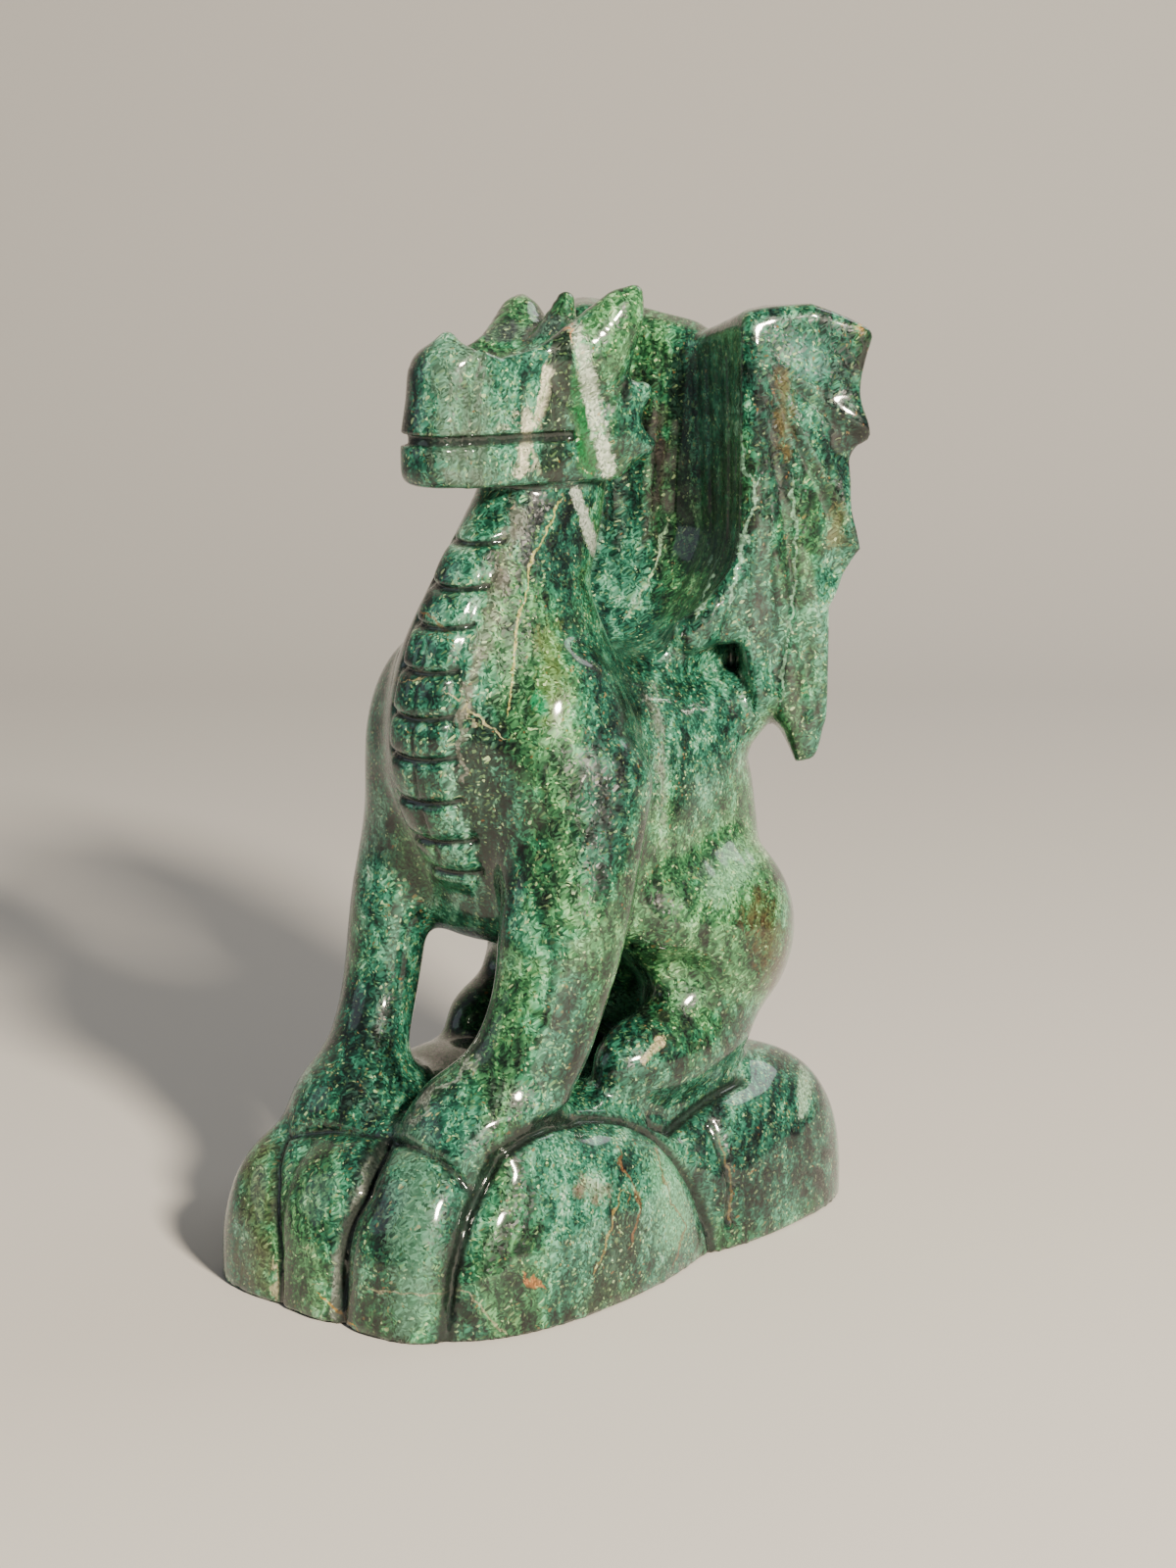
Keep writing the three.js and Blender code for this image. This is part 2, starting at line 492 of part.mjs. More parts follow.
// Reduce a closed surface by edge collapses, cheapest first by the quadric error measure
function reduce({ points, faces }, wanted) {
  const quadrics = points.map(() => new Float64Array(10));
  const fans = points.map(() => new Set());
  const corners = faces.map((f) => [...f]);
  const alive = new Uint8Array(faces.length).fill(1);
  const planeOf = ([a, b, c]) => {
    const [p, q, r] = [points[a], points[b], points[c]];
    const u = [q[0] - p[0], q[1] - p[1], q[2] - p[2]];
    const v = [r[0] - p[0], r[1] - p[1], r[2] - p[2]];
    const m = [u[1] * v[2] - u[2] * v[1], u[2] * v[0] - u[0] * v[2], u[0] * v[1] - u[1] * v[0]];
    const size = Math.hypot(...m) || 1e-12;
    const [nx, ny, nz] = m.map((w) => w / size);
    return [nx, ny, nz, -(nx * p[0] + ny * p[1] + nz * p[2]), size / 2];
  };
  corners.forEach((f, i) => {
    const [a, b, c, d, area] = planeOf(f);
    const terms = [a * a, a * b, a * c, a * d, b * b, b * c, b * d, c * c, c * d, d * d];
    for (const v of f) {
      fans[v].add(i);
      terms.forEach((t, j) => (quadrics[v][j] += t * area));
    }
  });
  const error = (q, [x, y, z]) =>
    q[0] * x * x + 2 * q[1] * x * y + 2 * q[2] * x * z + 2 * q[3] * x + q[4] * y * y +
    2 * q[5] * y * z + 2 * q[6] * y + q[7] * z * z + 2 * q[8] * z + q[9];
  const best = (a, b) => {
    const q = quadrics[a].map((v, i) => v + quadrics[b][i]);
    const middle = points[a].map((v, i) => (v + points[b][i]) / 2);
    const choices = [middle, points[a], points[b]];
    const det =
      q[0] * (q[4] * q[7] - q[5] * q[5]) - q[1] * (q[1] * q[7] - q[5] * q[2]) +
      q[2] * (q[1] * q[5] - q[4] * q[2]);
    if (Math.abs(det) > 1e-6) {
      const solve = [
        (-q[3] * (q[4] * q[7] - q[5] * q[5]) + q[1] * (q[6] * q[7] - q[5] * q[8]) -
          q[2] * (q[6] * q[5] - q[4] * q[8])) / det,
        (q[0] * (-q[6] * q[7] + q[5] * q[8]) + q[3] * (q[1] * q[7] - q[5] * q[2]) +
          q[2] * (-q[1] * q[8] + q[6] * q[2])) / det,
        (q[0] * (-q[4] * q[8] + q[6] * q[5]) - q[1] * (-q[1] * q[8] + q[6] * q[2]) -
          q[3] * (q[1] * q[5] - q[4] * q[2])) / det,
      ];
      if (Math.hypot(...solve.map((v, i) => v - middle[i])) < 6) choices.unshift(solve);
    }
    let [chosen, least] = [middle, Infinity];
    for (const choice of choices) {
      const e = error(q, choice);
      if (e < least) [chosen, least] = [choice, e];
    }
    const length = Math.hypot(...points[a].map((v, i) => v - points[b][i]));
    return { cost: Math.max(least, 0) + 1e-4 * length * length, at: chosen };
  };
  // A heap of edges; an entry is stale once either end has changed
  const heap = [];
  const stamps = new Int32Array(points.length);
  const push = (entry) => {
    let i = heap.push(entry) - 1;
    while (i > 0) {
      const up = (i - 1) >> 1;
      if (heap[up].cost <= heap[i].cost) break;
      [heap[up], heap[i]] = [heap[i], heap[up]];
      i = up;
    }
  };
  const pop = () => {
    const top = heap[0];
    const end = heap.pop();
    if (!heap.length) return top;
    heap[0] = end;
    for (let i = 0; ; ) {
      let small = i;
      for (const child of [2 * i + 1, 2 * i + 2])
        if (child < heap.length && heap[child].cost < heap[small].cost) small = child;
      if (small === i) return top;
      [heap[small], heap[i]] = [heap[i], heap[small]];
      i = small;
    }
  };
  const offer = (a, b) => push({ ...best(a, b), a, b, sa: stamps[a], sb: stamps[b] });
  const ring = (v) => {
    const out = new Set();
    for (const f of fans[v]) for (const w of corners[f]) if (w !== v) out.add(w);
    return out;
  };
  for (let v = 0; v < points.length; v++) for (const w of ring(v)) if (v < w) offer(v, w);
  let count = faces.length;
  while (count > wanted && heap.length) {
    const { a, b, at, sa, sb } = pop();
    if (stamps[a] !== sa || stamps[b] !== sb || !fans[a].size || !fans[b].size) continue;
    const [ra, rb] = [ring(a), ring(b)];
    if (!ra.has(b) || [...ra].filter((v) => rb.has(v)).length !== 2) continue;
    const flips = [a, b].some((v) =>
      [...fans[v]].some((f) => {
        if (corners[f].includes(a) && corners[f].includes(b)) return false;
        const before = planeOf(corners[f]);
        const kept = points[v];
        points[v] = at;
        const after = planeOf(corners[f]);
        points[v] = kept;
        const turned = before[0] * after[0] + before[1] * after[1] + before[2] * after[2];
        return turned < 0.3 || after[4] < 1e-3;
      }),
    );
    if (flips) continue;
    points[a] = at;
    quadrics[b].forEach((v, i) => (quadrics[a][i] += v));
    for (const f of fans[b]) {
      if (corners[f].includes(a)) {
        alive[f] = 0;
        count--;
        for (const v of corners[f]) if (v !== b) fans[v].delete(f);
      } else {
        corners[f] = corners[f].map((v) => (v === b ? a : v));
        fans[a].add(f);
      }
    }
    fans[b].clear();
    stamps[a]++;
    stamps[b]++;
    for (const v of ring(a)) offer(a, v);
  }
  return { points, faces: corners.filter((f, i) => alive[i]) };
}

function toGeometry({ points, faces }) {
  const number = new Map();
  const flat = [];
  const order = faces.flat().map((v) => {
    if (!number.has(v)) {
      number.set(v, number.size);
      flat.push(...points[v]);
    }
    return number.get(v);
  });
  const geometry = new THREE.BufferGeometry();
  geometry.setAttribute("position", new THREE.Float32BufferAttribute(flat, 3));
  geometry.setIndex(order);
  return geometry;
}

const wasm = await Module();
wasm.setup();

function toSolid(geometry) {
  return new wasm.Manifold(
    new wasm.Mesh({
      numProp: 3,
      vertProperties: new Float32Array(geometry.attributes.position.array),
      triVerts: new Uint32Array(geometry.index.array),
    }),
  );
}

function fromSolid(solid) {
  const mesh = solid.getMesh();
  const geometry = new THREE.BufferGeometry();
  geometry.setAttribute("position", new THREE.BufferAttribute(mesh.vertProperties, 3));
  geometry.setIndex(new THREE.BufferAttribute(mesh.triVerts, 1));
  geometry.computeVertexNormals();
  return geometry;
}

// The box below the underside that leaves the carving standing on a flat face
function groundBlock() {
  const depth = 40;
  const block = new THREE.BoxGeometry(MOUND_WIDTH * 2, MOUND_LENGTH * 2, depth);
  block.translate(0, 0, -depth / 2);
  block.deleteAttribute("normal");
  block.deleteAttribute("uv");
  const corners = [];
  const seen = new Map();
  const order = [...block.index.array].map((i) => {
    const p = [0, 1, 2].map((c) => block.attributes.position.array[3 * i + c]);
    const key = p.join();
    if (!seen.has(key)) {
      seen.set(key, seen.size);
      corners.push(...p);
    }
    return seen.get(key);
  });
  const merged = new THREE.BufferGeometry();
  merged.setAttribute("position", new THREE.Float32BufferAttribute(corners, 3));
  merged.setIndex(order);
  return toSolid(merged);
}

const reach = [0.3 * FIGURE_HEIGHT, 0.42 * FIGURE_HEIGHT];
const halfX = Math.max(reach[0], MOUND_WIDTH / 2 + 6);
const halfY = Math.max(reach[1], MOUND_LENGTH / 2 + 8);
const sampled = polygonise(
  (x, y, z) => Math.max(carving(x, y, z), -SUNK - z),
  [-halfX, -halfY, -SUNK - 2 * GRID_STEP],
  [halfX, halfY, MOUND_RISE + FIGURE_HEIGHT + 6],
  GRID_STEP,
);
const standing = toSolid(toGeometry(reduce(sampled, TRIANGLES))).subtract(groundBlock());
const { min, max } = standing.boundingBox();
const centred = standing.translate([-(min[0] + max[0]) / 2, -(min[1] + max[1]) / 2, 0]);

const jade = new THREE.MeshStandardMaterial({
  name: "jade",
  color: new THREE.Color(0.1, 0.27, 0.17),
  roughness: 0.22,
  metalness: 0,
});
const dragon = new THREE.Mesh(fromSolid(centred), jade);
dragon.name = "dragon_carving";

const carvingGroup = new THREE.Group();
carvingGroup.add(dragon);
export default carvingGroup;
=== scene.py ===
"""A dragon carved from one block of polished green stone, sitting on a mound of boulders.

The carving is one closed surface. Every limb, boulder and wing is a distance function of the
drawn sizes, the functions are blended and given their finer relief, and the surface is meshed
where their sum is nought. The frame has +Z up, the dragon faces -Y and its left side is +X.
"""

import math

import bmesh
import bpy
import numpy as np
from bpy.props import FloatProperty, FloatVectorProperty, IntProperty, PointerProperty
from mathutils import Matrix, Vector


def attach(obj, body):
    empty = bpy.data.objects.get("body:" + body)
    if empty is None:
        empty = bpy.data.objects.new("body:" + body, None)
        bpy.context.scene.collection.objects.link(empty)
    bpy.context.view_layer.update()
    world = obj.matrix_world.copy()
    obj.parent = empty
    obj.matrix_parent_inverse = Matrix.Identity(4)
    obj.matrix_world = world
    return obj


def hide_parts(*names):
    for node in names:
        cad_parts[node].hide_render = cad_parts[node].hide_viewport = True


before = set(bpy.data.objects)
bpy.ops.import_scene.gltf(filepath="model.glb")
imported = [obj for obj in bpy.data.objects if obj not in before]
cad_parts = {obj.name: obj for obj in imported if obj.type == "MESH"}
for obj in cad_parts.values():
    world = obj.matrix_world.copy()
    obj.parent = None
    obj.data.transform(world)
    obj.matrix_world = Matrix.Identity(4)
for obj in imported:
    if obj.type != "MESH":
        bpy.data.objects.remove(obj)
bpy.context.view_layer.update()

bl_info = {
    "name": "Carved stone dragon",
    "version": (1, 0, 0),
    "blender": (4, 5, 0),
    "location": "3D View > Sidebar > Carving",
    "description": "Carves a polished stone dragon on its mound and sets it in a plain studio",
    "category": "Add Mesh",
}

MM = 0.001
NODE = "dragon_carving"
CAMERA_TURN = math.radians(40)


# Colours


def linear(code, alpha=True):
    """An sRGB hex colour as the linear values that the shaders take."""
    parts = [int(code[i : i + 2], 16) / 255 for i in (1, 3, 5)]
    values = [c / 12.92 if c <= 0.04045 else ((c + 0.055) / 1.055) ** 2.4 for c in parts]
    return (*values, 1.0) if alpha else tuple(values)


# Blending distances, for arrays of points in millimetres


def smooth(t):
    c = np.clip(t, 0, 1)
    return c * c * (3 - 2 * c)


def join(k, a, b):
    """Union of two distances, with a fillet about k wide."""
    h = np.maximum(k - np.abs(a - b), 0) / k
    return np.minimum(a, b) - h * h * k / 4


def meet(k, a, b):
    """Intersection of two distances, with an edge rounded about k wide."""
    return -join(k, -a, -b)


def carve(k, a, tool):
    """What is left of a after the tool has gone through it."""
    return -join(k, -a, tool)


def stone(p, centre, radii, power=2.0):
    """Distance to a rounded stone: power 2 is an ellipsoid, and a higher power is squarer."""
    q = [np.abs(p[i] - centre[i]) / radii[i] for i in range(3)]
    size = np.maximum(sum(v**power for v in q) ** (1 / power), 1e-6)
    slope = np.sqrt(sum((v ** (power - 1) / r) ** 2 for v, r in zip(q, radii)))
    return (size - 1) * size ** (power - 1) / np.maximum(slope, 1e-9)


def bend(*stations):
    """A smooth line through stations (x, y, z, radius), as short straight pieces."""
    pieces = 5
    s = np.array(stations, float)
    line = []
    for i in range(len(s) - 1):
        before, after = s[max(i - 1, 0)], s[min(i + 2, len(s) - 1)]
        a, b = s[i], s[i + 1]
        start, end = (b - before) / 2, (after - a) / 2
        for t in np.arange(pieces) / pieces:
            cubic = t * t * (3 * (b - a) - 2 * start - end) + t**3 * (start + end - 2 * (b - a))
            line.append(a + t * start + cubic)
    return np.array([*line, s[-1]])


def limb(p, line):
    """Distance to a limb of round section along such a line."""
    nearest = np.full(p[0].shape, np.inf)
    for a, b in zip(line[:-1], line[1:]):
        u = b[:3] - a[:3]
        w = [p[i] - a[i] for i in range(3)]
        t = np.clip((w[0] * u[0] + w[1] * u[1] + w[2] * u[2]) / (u @ u), 0, 1)
        away = np.sqrt(sum((w[i] - t * u[i]) ** 2 for i in range(3)))
        nearest = np.minimum(nearest, away - (a[3] + (b[3] - a[3]) * t))
    return nearest


def to_line(p, line):
    """Distance to a line of straight pieces."""
    nearest = np.full(p[0].shape, np.inf)
    for a, b in zip(line[:-1], line[1:]):
        u = b - a
        w = [p[i] - a[i] for i in range(3)]
        t = np.clip((w[0] * u[0] + w[1] * u[1] + w[2] * u[2]) / (u @ u), 0, 1)
        nearest = np.minimum(nearest, sum((w[i] - t * u[i]) ** 2 for i in range(3)))
    return np.sqrt(nearest)


def through(pairs, at):
    """A value that runs straight between pairs (at, value)."""
    pairs = np.array(pairs, float)
    return np.interp(at, pairs[:, 0], pairs[:, 1])


def blend_in(d, k, p, line, side=None):
    """Blend a limb into d, worked out only in the box that it can reach."""
    q = p if side is None else (side, p[1], p[2])
    reach = k + 4 + line[:, 3].max()
    near = np.ones(d.shape, bool)
    for i in range(3):
        near &= (q[i] > line[:, i].min() - reach) & (q[i] < line[:, i].max() + reach)
    if near.any():
        d[near] = join(k, d[near], limb([c[near] for c in q], line))
    return d


# The mound: a core and the boulders around it, drawn as (centre), (radii)
CORE = ((0, -3, 2), (47, 83, 45))
BOULDERS = (
    ((24, -32, 2), (28, 46, 45)),  # the big dome under the left fore paw
    ((24, 46, 4), (27.5, 41.5, 42)),  # behind it, under the left haunch
    ((20, -62, 2), (19, 25, 41)),  # front, left of the middle
    ((-5, -62, 2), (18, 25, 40)),  # front, middle
    ((-28, -56, 2), (21, 31, 39)),  # front, right
    ((-25, -8, 2), (27, 36, 48)),  # right side
    ((-24, 44, 3), (27, 40, 42)),  # under the right haunch
    ((0, 62, 0), (22, 23, 40)),  # back
)
MOUND_FORM = ((0, -2, 2), (52, 86, 46))
FOOT = 15
# Lines cut into the mound, as points on its surface: (broad depth, cut depth) and the line
MOUND_LINES = (
    # Down the front, between the right and the middle boulder
    ((1.0, 1.3), ((-28.2, -70.8, 37.8), (-21.4, -80.5, 28.3), (-18.7, -83.3, 21.5), (-15.1, -86.7, 13.9),
     (-13.8, -87.8, 5.2), (-13.5, -88, -2))),
    # Down the front, between the middle and the left boulder
    ((1.8, 1.6), ((2.5, -64.1, 40.2), (6, -71.5, 35.7), (8.5, -77, 31.5), (6.6, -80.2, 26.4),
     (6.4, -82.5, 23.1), (6.8, -84.9, 14.7), (7.7, -85.2, 7.1), (8.3, -85, -2))),
    # Round the front left corner, in front of the big dome
    ((1.8, 1.8), ((34.9, -59.4, 41.8), (34, -61.5, 38), (34.1, -64.5, 34.6), (34.8, -70, 29.5),
     (35.6, -76.6, 16.4), (36, -78.5, 9.6), (35.8, -78.8, -2))),
    # Over the big dome
    ((1.6, 1.8), ((34.9, -60.5, 42.3), (37, -53.9, 45.4), (37.5, -42.4, 47.1), (33.8, -24, 43.9),
     (36.9, -12, 41.1), (39.9, -2.9, 35.9), (43.5, 4, 27), (45.1, 10.1, 16.4),
     (46.8, 12.5, 6.7), (47.1, 12.9, -2))),
    # Over the middle boulder
    ((0.8, 1.2), ((-27.9, -71.1, 37.4), (-22.3, -69.7, 39.6), (-16, -67.7, 40.9), (-8.7, -66.4, 41.6),
     (-2.6, -64.6, 41.6), (3.1, -63.2, 41.4))),
    # Over the left front boulder
    ((0.8, 1.2), ((4.7, -63.8, 41.1), (18.2, -69.7, 43.9), (23.7, -70.2, 43.2), (27.7, -69.5, 41.5),
     (30.9, -67.9, 38.5), (34, -67.4, 34.4))),
    # From the dome up towards the haunch
    ((1.4, 1.6), ((37.5, 0, 37), (38.3, 6.3, 33.8), (36.6, 17.8, 35.9), (37.2, 25.4, 38.1),
     (37.7, 37.5, 39.8))),
    # A short cut in the boulder behind the dome
    ((0.6, 1.3), ((41.7, 19.5, 33.2), (45.7, 19.6, 25.4), (48, 21.1, 17.4), (49.4, 19, 7.4))),
)
MOUND_LINES = tuple((depth, np.array(points, float)) for depth, points in MOUND_LINES)


def on_form(q):
    """Points drawn in to the plain form of the mound, along the line from its middle."""
    size = sum((np.abs(c - m) / r) ** 2.5 for c, m, r in zip(q, *MOUND_FORM)) ** (1 / 2.5)
    size = np.maximum(size, 0.2)
    return [m + (c - m) / size for c, m in zip(q, MOUND_FORM[0])]


# Trunk, neck and hind legs
SHOULDER = (25.8, -18, 134)
NECK = bend((0, -12, 160, 25), (0, -11.5, 179, 22), (0, -3, 196, 19.6), (0, 4.5, 216, 17.4))
NECK_NARROW = 1.28  # the neck is deeper than it is wide
THIGH = bend((30, 38, 84, 17), (31, 14, 90, 11))

# Forelegs: their section is an oval, broader along this direction, mirrored on the right
LEG_BROAD = {"x": 0.766, "y": 0.643, "stretch": 1.32}
FORELEG_LEFT = bend(
    (30, -18, 132, 13), (31, -29, 100, 12.6), (30, -35.5, 78, 11), (27, -41, 62, 11), (22, -48, 50, 12)
)
FORELEG_RIGHT = bend(
    (-28, -18, 130, 12), (-29, -28, 98, 11), (-28.5, -34, 72, 10.2), (-26.5, -41, 58, 10.4),
    (-24, -51, 44, 12),
)
RIGHT_HIND_SHIFT = 8  # the right hind paw sits further back

# The tail leaves the rump and lies along the right side of the mound
TAIL = bend(
    (0, 58, 66, 16), (-4, 72, 50, 12), (-20, 74, 43, 10), (-37, 60, 40, 9), (-44, 36, 40, 7.5),
    (-45, 12, 39, 5),
)

# Wings: a thick sheet each, from a sharp fold to a scalloped edge, with a trough between them
FOLD = (31, 46.7)
SHEET = (0.653, 0.757)
TROUGH_LEAN = 0.11
TROUGH_ROUND = 8
SWEEP = {"from": 190, "to": 163, "reach": 17}
BACK_CENTRE = 82
BACK_HOLLOW = 14
BACK_RISE = 31
BACK_CLEFT = 6
BACK_FALL = 13
CROWN = ((-6, 249), (7, 251), (19, 252), (38, 246.5))
CROWN_DIP = {"width": 26, "depth": 6}
HEM = ((-20, 160), (0, 160), (4, 146), (10, 142), (13, 136), (16, 126), (24, 125))
EDGE_TIPS = ((24.8, 130), (25, 170), (33.5, 186), (36.4, 214.5), (39.6, 246))
EDGE_BAYS = (0, -1.5, 4.5, 4)
ROOT_HEM = 100
ROOT_EDGE = (8, 22)  # distances from the middle over which the hem rises
WRIST = (3, 240)
RIB_TIPS = ((37, 216), (34, 187), (24, 140), (14, 138), (4, 146))
WEB = bend((8, 34, 131, 19), (22, 53, 141, 11))
FURROWS = ((3, 2.2, 0.7), (9.5, 1.3, 0.55), (15, 2.4, 0.6), (21, 1.2, 0.5), (26.5, 1.5, 0.3))
# Hollows in the outer face, and knuckles where the depth is below nought, as (distance behind
# the fold, height), (half sizes), depth
WING_HOLLOWS = (
    ((30, 210), (6, 6), 2.4), ((27, 180), (5, 8), 2.0), ((22, 227), (8, 4), 1.2),
    ((34, 220), (4, 3.5), -0.8), ((31, 192), (4.5, 4), -0.9), ((7, 215), (3, 22), 0.7),
    ((18, 150), (3.5, 16), 0.8),
)
WING_SEAM = ((12.8, 222), (12.8, 205), (13.7, 178), (9.9, 146))  # between its two panels
LIP = bend((29.5, 44.5, 178, 1), (25.5, 40, 169, 3.6), (21, 37, 164, 5))

# The head, in its own frame: forward, left and up from a point above the neck
HEAD = {"y": -5, "turn": math.radians(6)}
SNOUT_TIP = 40.5
JAW_UNDER = 207.5
MOUTH_LINE = 220
HEAD_HALF_WIDTH = ((-20, 19), (-8, 17.5), (15, 13.5), (32, 11.5), (44, 10.5))
HEAD_TOP = ((-22, 250), (-14, 250), (-3, 246), (12, 241.5), (20, 240), (28, 243), (42, 238))
HORN_TILT = 0.075  # the left horn stands higher than the right
HORN = bend((-9, 15, 238, 9), (-14, 19, 247, 6), (-17, 21.5, 253.8, 2.2))
HORN_BLADE = bend((-3, 13.5, 238, 7.5), (-13, 19, 250.5, 3.6))
CREST = bend((-8, 0, 238, 8), (-13, 0, 253.2, 2.4))
FRILL = (
    bend((-14, 12, 221, 8), (-23, 18.5, 228.5, 2.6)),
    bend((-15, 12.5, 217, 8), (-24, 18.5, 214.5, 2.8)),
)
NOSE = bend((29.5, 0, 236, 7), (28.5, 0, 244.2, 2.2))

PLATE_HEIGHTS = (107.5, 116.5, 127.5, 139, 149.5, 161, 172, 181.5, 192.5)
PLATE_HALF = ((102, 5), (108, 8.5), (117, 10), (140, 10.3), (162, 8.4), (182, 8.6), (200, 7))


class Carving:
    """The distance from a point to the carved surface, in millimetres, for the chosen sizes."""

    drawn = {"figure": 206, "rise": 50, "length": 175, "width": 105}

    def __init__(self, sizes):
        self.height = sizes.figure_height / MM
        self.rise = sizes.mound_rise / MM
        self.length = sizes.mound_length / MM
        self.width = sizes.mound_width / MM
        self.scale = self.height / self.drawn["figure"]
        self.wing_thickness = sizes.wing_thickness / MM / self.scale
        self.wing_edge = sizes.wing_edge / MM / self.scale
        self.crease = sizes.crease_depth / MM
        self.plate_groove = sizes.plate_groove / MM / self.scale
        self.mouth_groove = sizes.mouth_groove / MM / self.scale

    def drawn_mound(self, p):
        # The top of the mound keeps its fit with the figure, and its foot takes up the rise
        stretch = (self.rise - self.drawn["rise"] + FOOT) / FOOT
        top = np.maximum(p[2] - self.rise + self.drawn["rise"], FOOT)
        return (
            p[0] * self.drawn["width"] / self.width,
            p[1] * self.drawn["length"] / self.length,
            top + np.minimum(p[2] / stretch - FOOT, 0),
        )

    def mound(self, p):
        q = self.drawn_mound(p)
        d = stone(q, *CORE, 2.6)
        nearest = np.full(d.shape, np.inf)
        second = nearest.copy()
        for boulder in BOULDERS:
            b = stone(q, *boulder, 2.5)
            second = np.minimum(second, np.maximum(nearest, b))
            nearest = np.minimum(nearest, b)
            d = join(12, d, b)
        # A hollow follows each line where two boulders meet; the marked lines are cut in afterwards, where
        # the mound is joined to the figure
        crease = np.maximum(0, 1 - (second - nearest) / 9)
        d = d + self.crease * 0.5 * crease**2 * smooth(1 - np.abs(nearest) / 12)
        return d

    def cuts(self, p):
        """Depth of the lines cut into the mound, measured round it as on its plain form."""
        q = on_form(self.drawn_mound(p))
        depth = np.zeros(q[0].shape)
        for (broad, cut), points in MOUND_LINES:
            line = np.array(on_form(points.T)).T
            near = np.ones(depth.shape, bool)
            for i in range(3):
                near &= (q[i] > line[:, i].min() - 12) & (q[i] < line[:, i].max() + 12)
            if not near.any():
                continue
            away = to_line([c[near] for c in q], line)
            profile = broad * np.exp(-((away / 4.5) ** 2)) + cut * np.exp(-((away / 1.2) ** 2))
            depth[near] = np.maximum(depth[near], profile)
        return depth

    def torso(self, p):
        side = np.abs(p[0])
        q = (side, p[1], p[2])
        d = stone(p, (0, -17, 143), (27, 33, 42))  # chest
        d = join(14, d, stone(p, (0, 22, 124), (34, 50, 36)))  # belly and back
        d = join(12, d, stone(p, (0, 1, 104), (33, 33, 21), 3))  # underside
        d = join(12, d, stone(p, (0, 44, 92), (33, 32, 46)))  # rump
        d = join(12, d, stone(q, SHOULDER, (12, 20, 30)))
        d = blend_in(d, 12, (p[0] * NECK_NARROW, p[1], p[2]), NECK)
        d = join(9, d, stone(q, (31, 40, 80), (13, 27, 25)))  # haunches
        d = blend_in(d, 12, p, THIGH, side)
        return carve(5, d, stone(q, (43, 4, 74), (14, 17, 9)))

    def foreleg(self, p, stations, turn):
        # Draw the broad direction in towards the leg's own line before measuring
        top, foot = stations[0], stations[20]
        t = np.clip((top[2] - p[2]) / (top[2] - foot[2]), 0, 1)
        x, y = LEG_BROAD["x"] * turn, LEG_BROAD["y"]
        along = (p[0] - top[0] - (foot[0] - top[0]) * t) * x
        along += (p[1] - top[1] - (foot[1] - top[1]) * t) * y
        pull = along * (1 / LEG_BROAD["stretch"] - 1)
        return limb((p[0] + pull * x, p[1] + pull * y, p[2]), stations)

    def paws(self, p):
        d = stone(p, (22, -49, 44), (18, 21, 11.5))
        d = join(3, d, stone(p, (-22, -48, 43), (17, 19, 11)))
        back = np.where(p[0] > 0, 0, RIGHT_HIND_SHIFT)
        return join(6, d, stone((np.abs(p[0]), p[1] - back, p[2]), (30, 18, 53), (13, 29, 13)))

    def scallops(self, z):
        tips = np.array(EDGE_TIPS)
        edge = np.interp(z, tips[:, 1], tips[:, 0])
        for bay, low, high in zip(EDGE_BAYS, tips[:-1, 1], tips[1:, 1]):
            edge -= bay * np.sin(np.pi * np.clip((z - low) / (high - low), 0, 1))
        return edge

    def wings(self, p):
        side, y, z = np.abs(p[0]), p[1], p[2]
        behind = (side - FOLD[0]) * SHEET[0] + (y - FOLD[1]) * SHEET[1]
        outside = (side - FOLD[0]) * SHEET[1] - (y - FOLD[1]) * SHEET[0]
        rib = np.zeros(z.shape)
        for tip in RIB_TIPS:
            u = np.subtract(tip, WRIST)
            t = np.clip(((behind - WRIST[0]) * u[0] + (z - WRIST[1]) * u[1]) / (u @ u), 0, 1)
            dx, dz = behind - WRIST[0] - t * u[0], z - WRIST[1] - t * u[1]
            under = dx * u[1] - dz * u[0] > 0
            tall = 2.0 - 1.1 * smooth((190 - z) / 30)
            rib = np.maximum(rib, tall * np.exp(-(dx**2 + dz**2) / np.where(under, 2.6, 5.0) ** 2))
        rib = rib + 0.35 * np.sin(behind / 1.9 + z / 21 + 2 * np.sin(z / 27)) * smooth((235 - z) / 30)
        for (at, height), (wide, tall), deep in WING_HOLLOWS:
            rib = rib - deep * np.exp(-(((behind - at) / wide) ** 2) - ((z - height) / tall) ** 2)
        seam = behind - np.interp(-z, [-c[1] for c in WING_SEAM], [c[0] for c in WING_SEAM])
        rib = rib - 0.9 * np.exp(-((seam / np.where(seam > 0, 1.2, 3)) ** 2)) * smooth((222 - z) / 15)
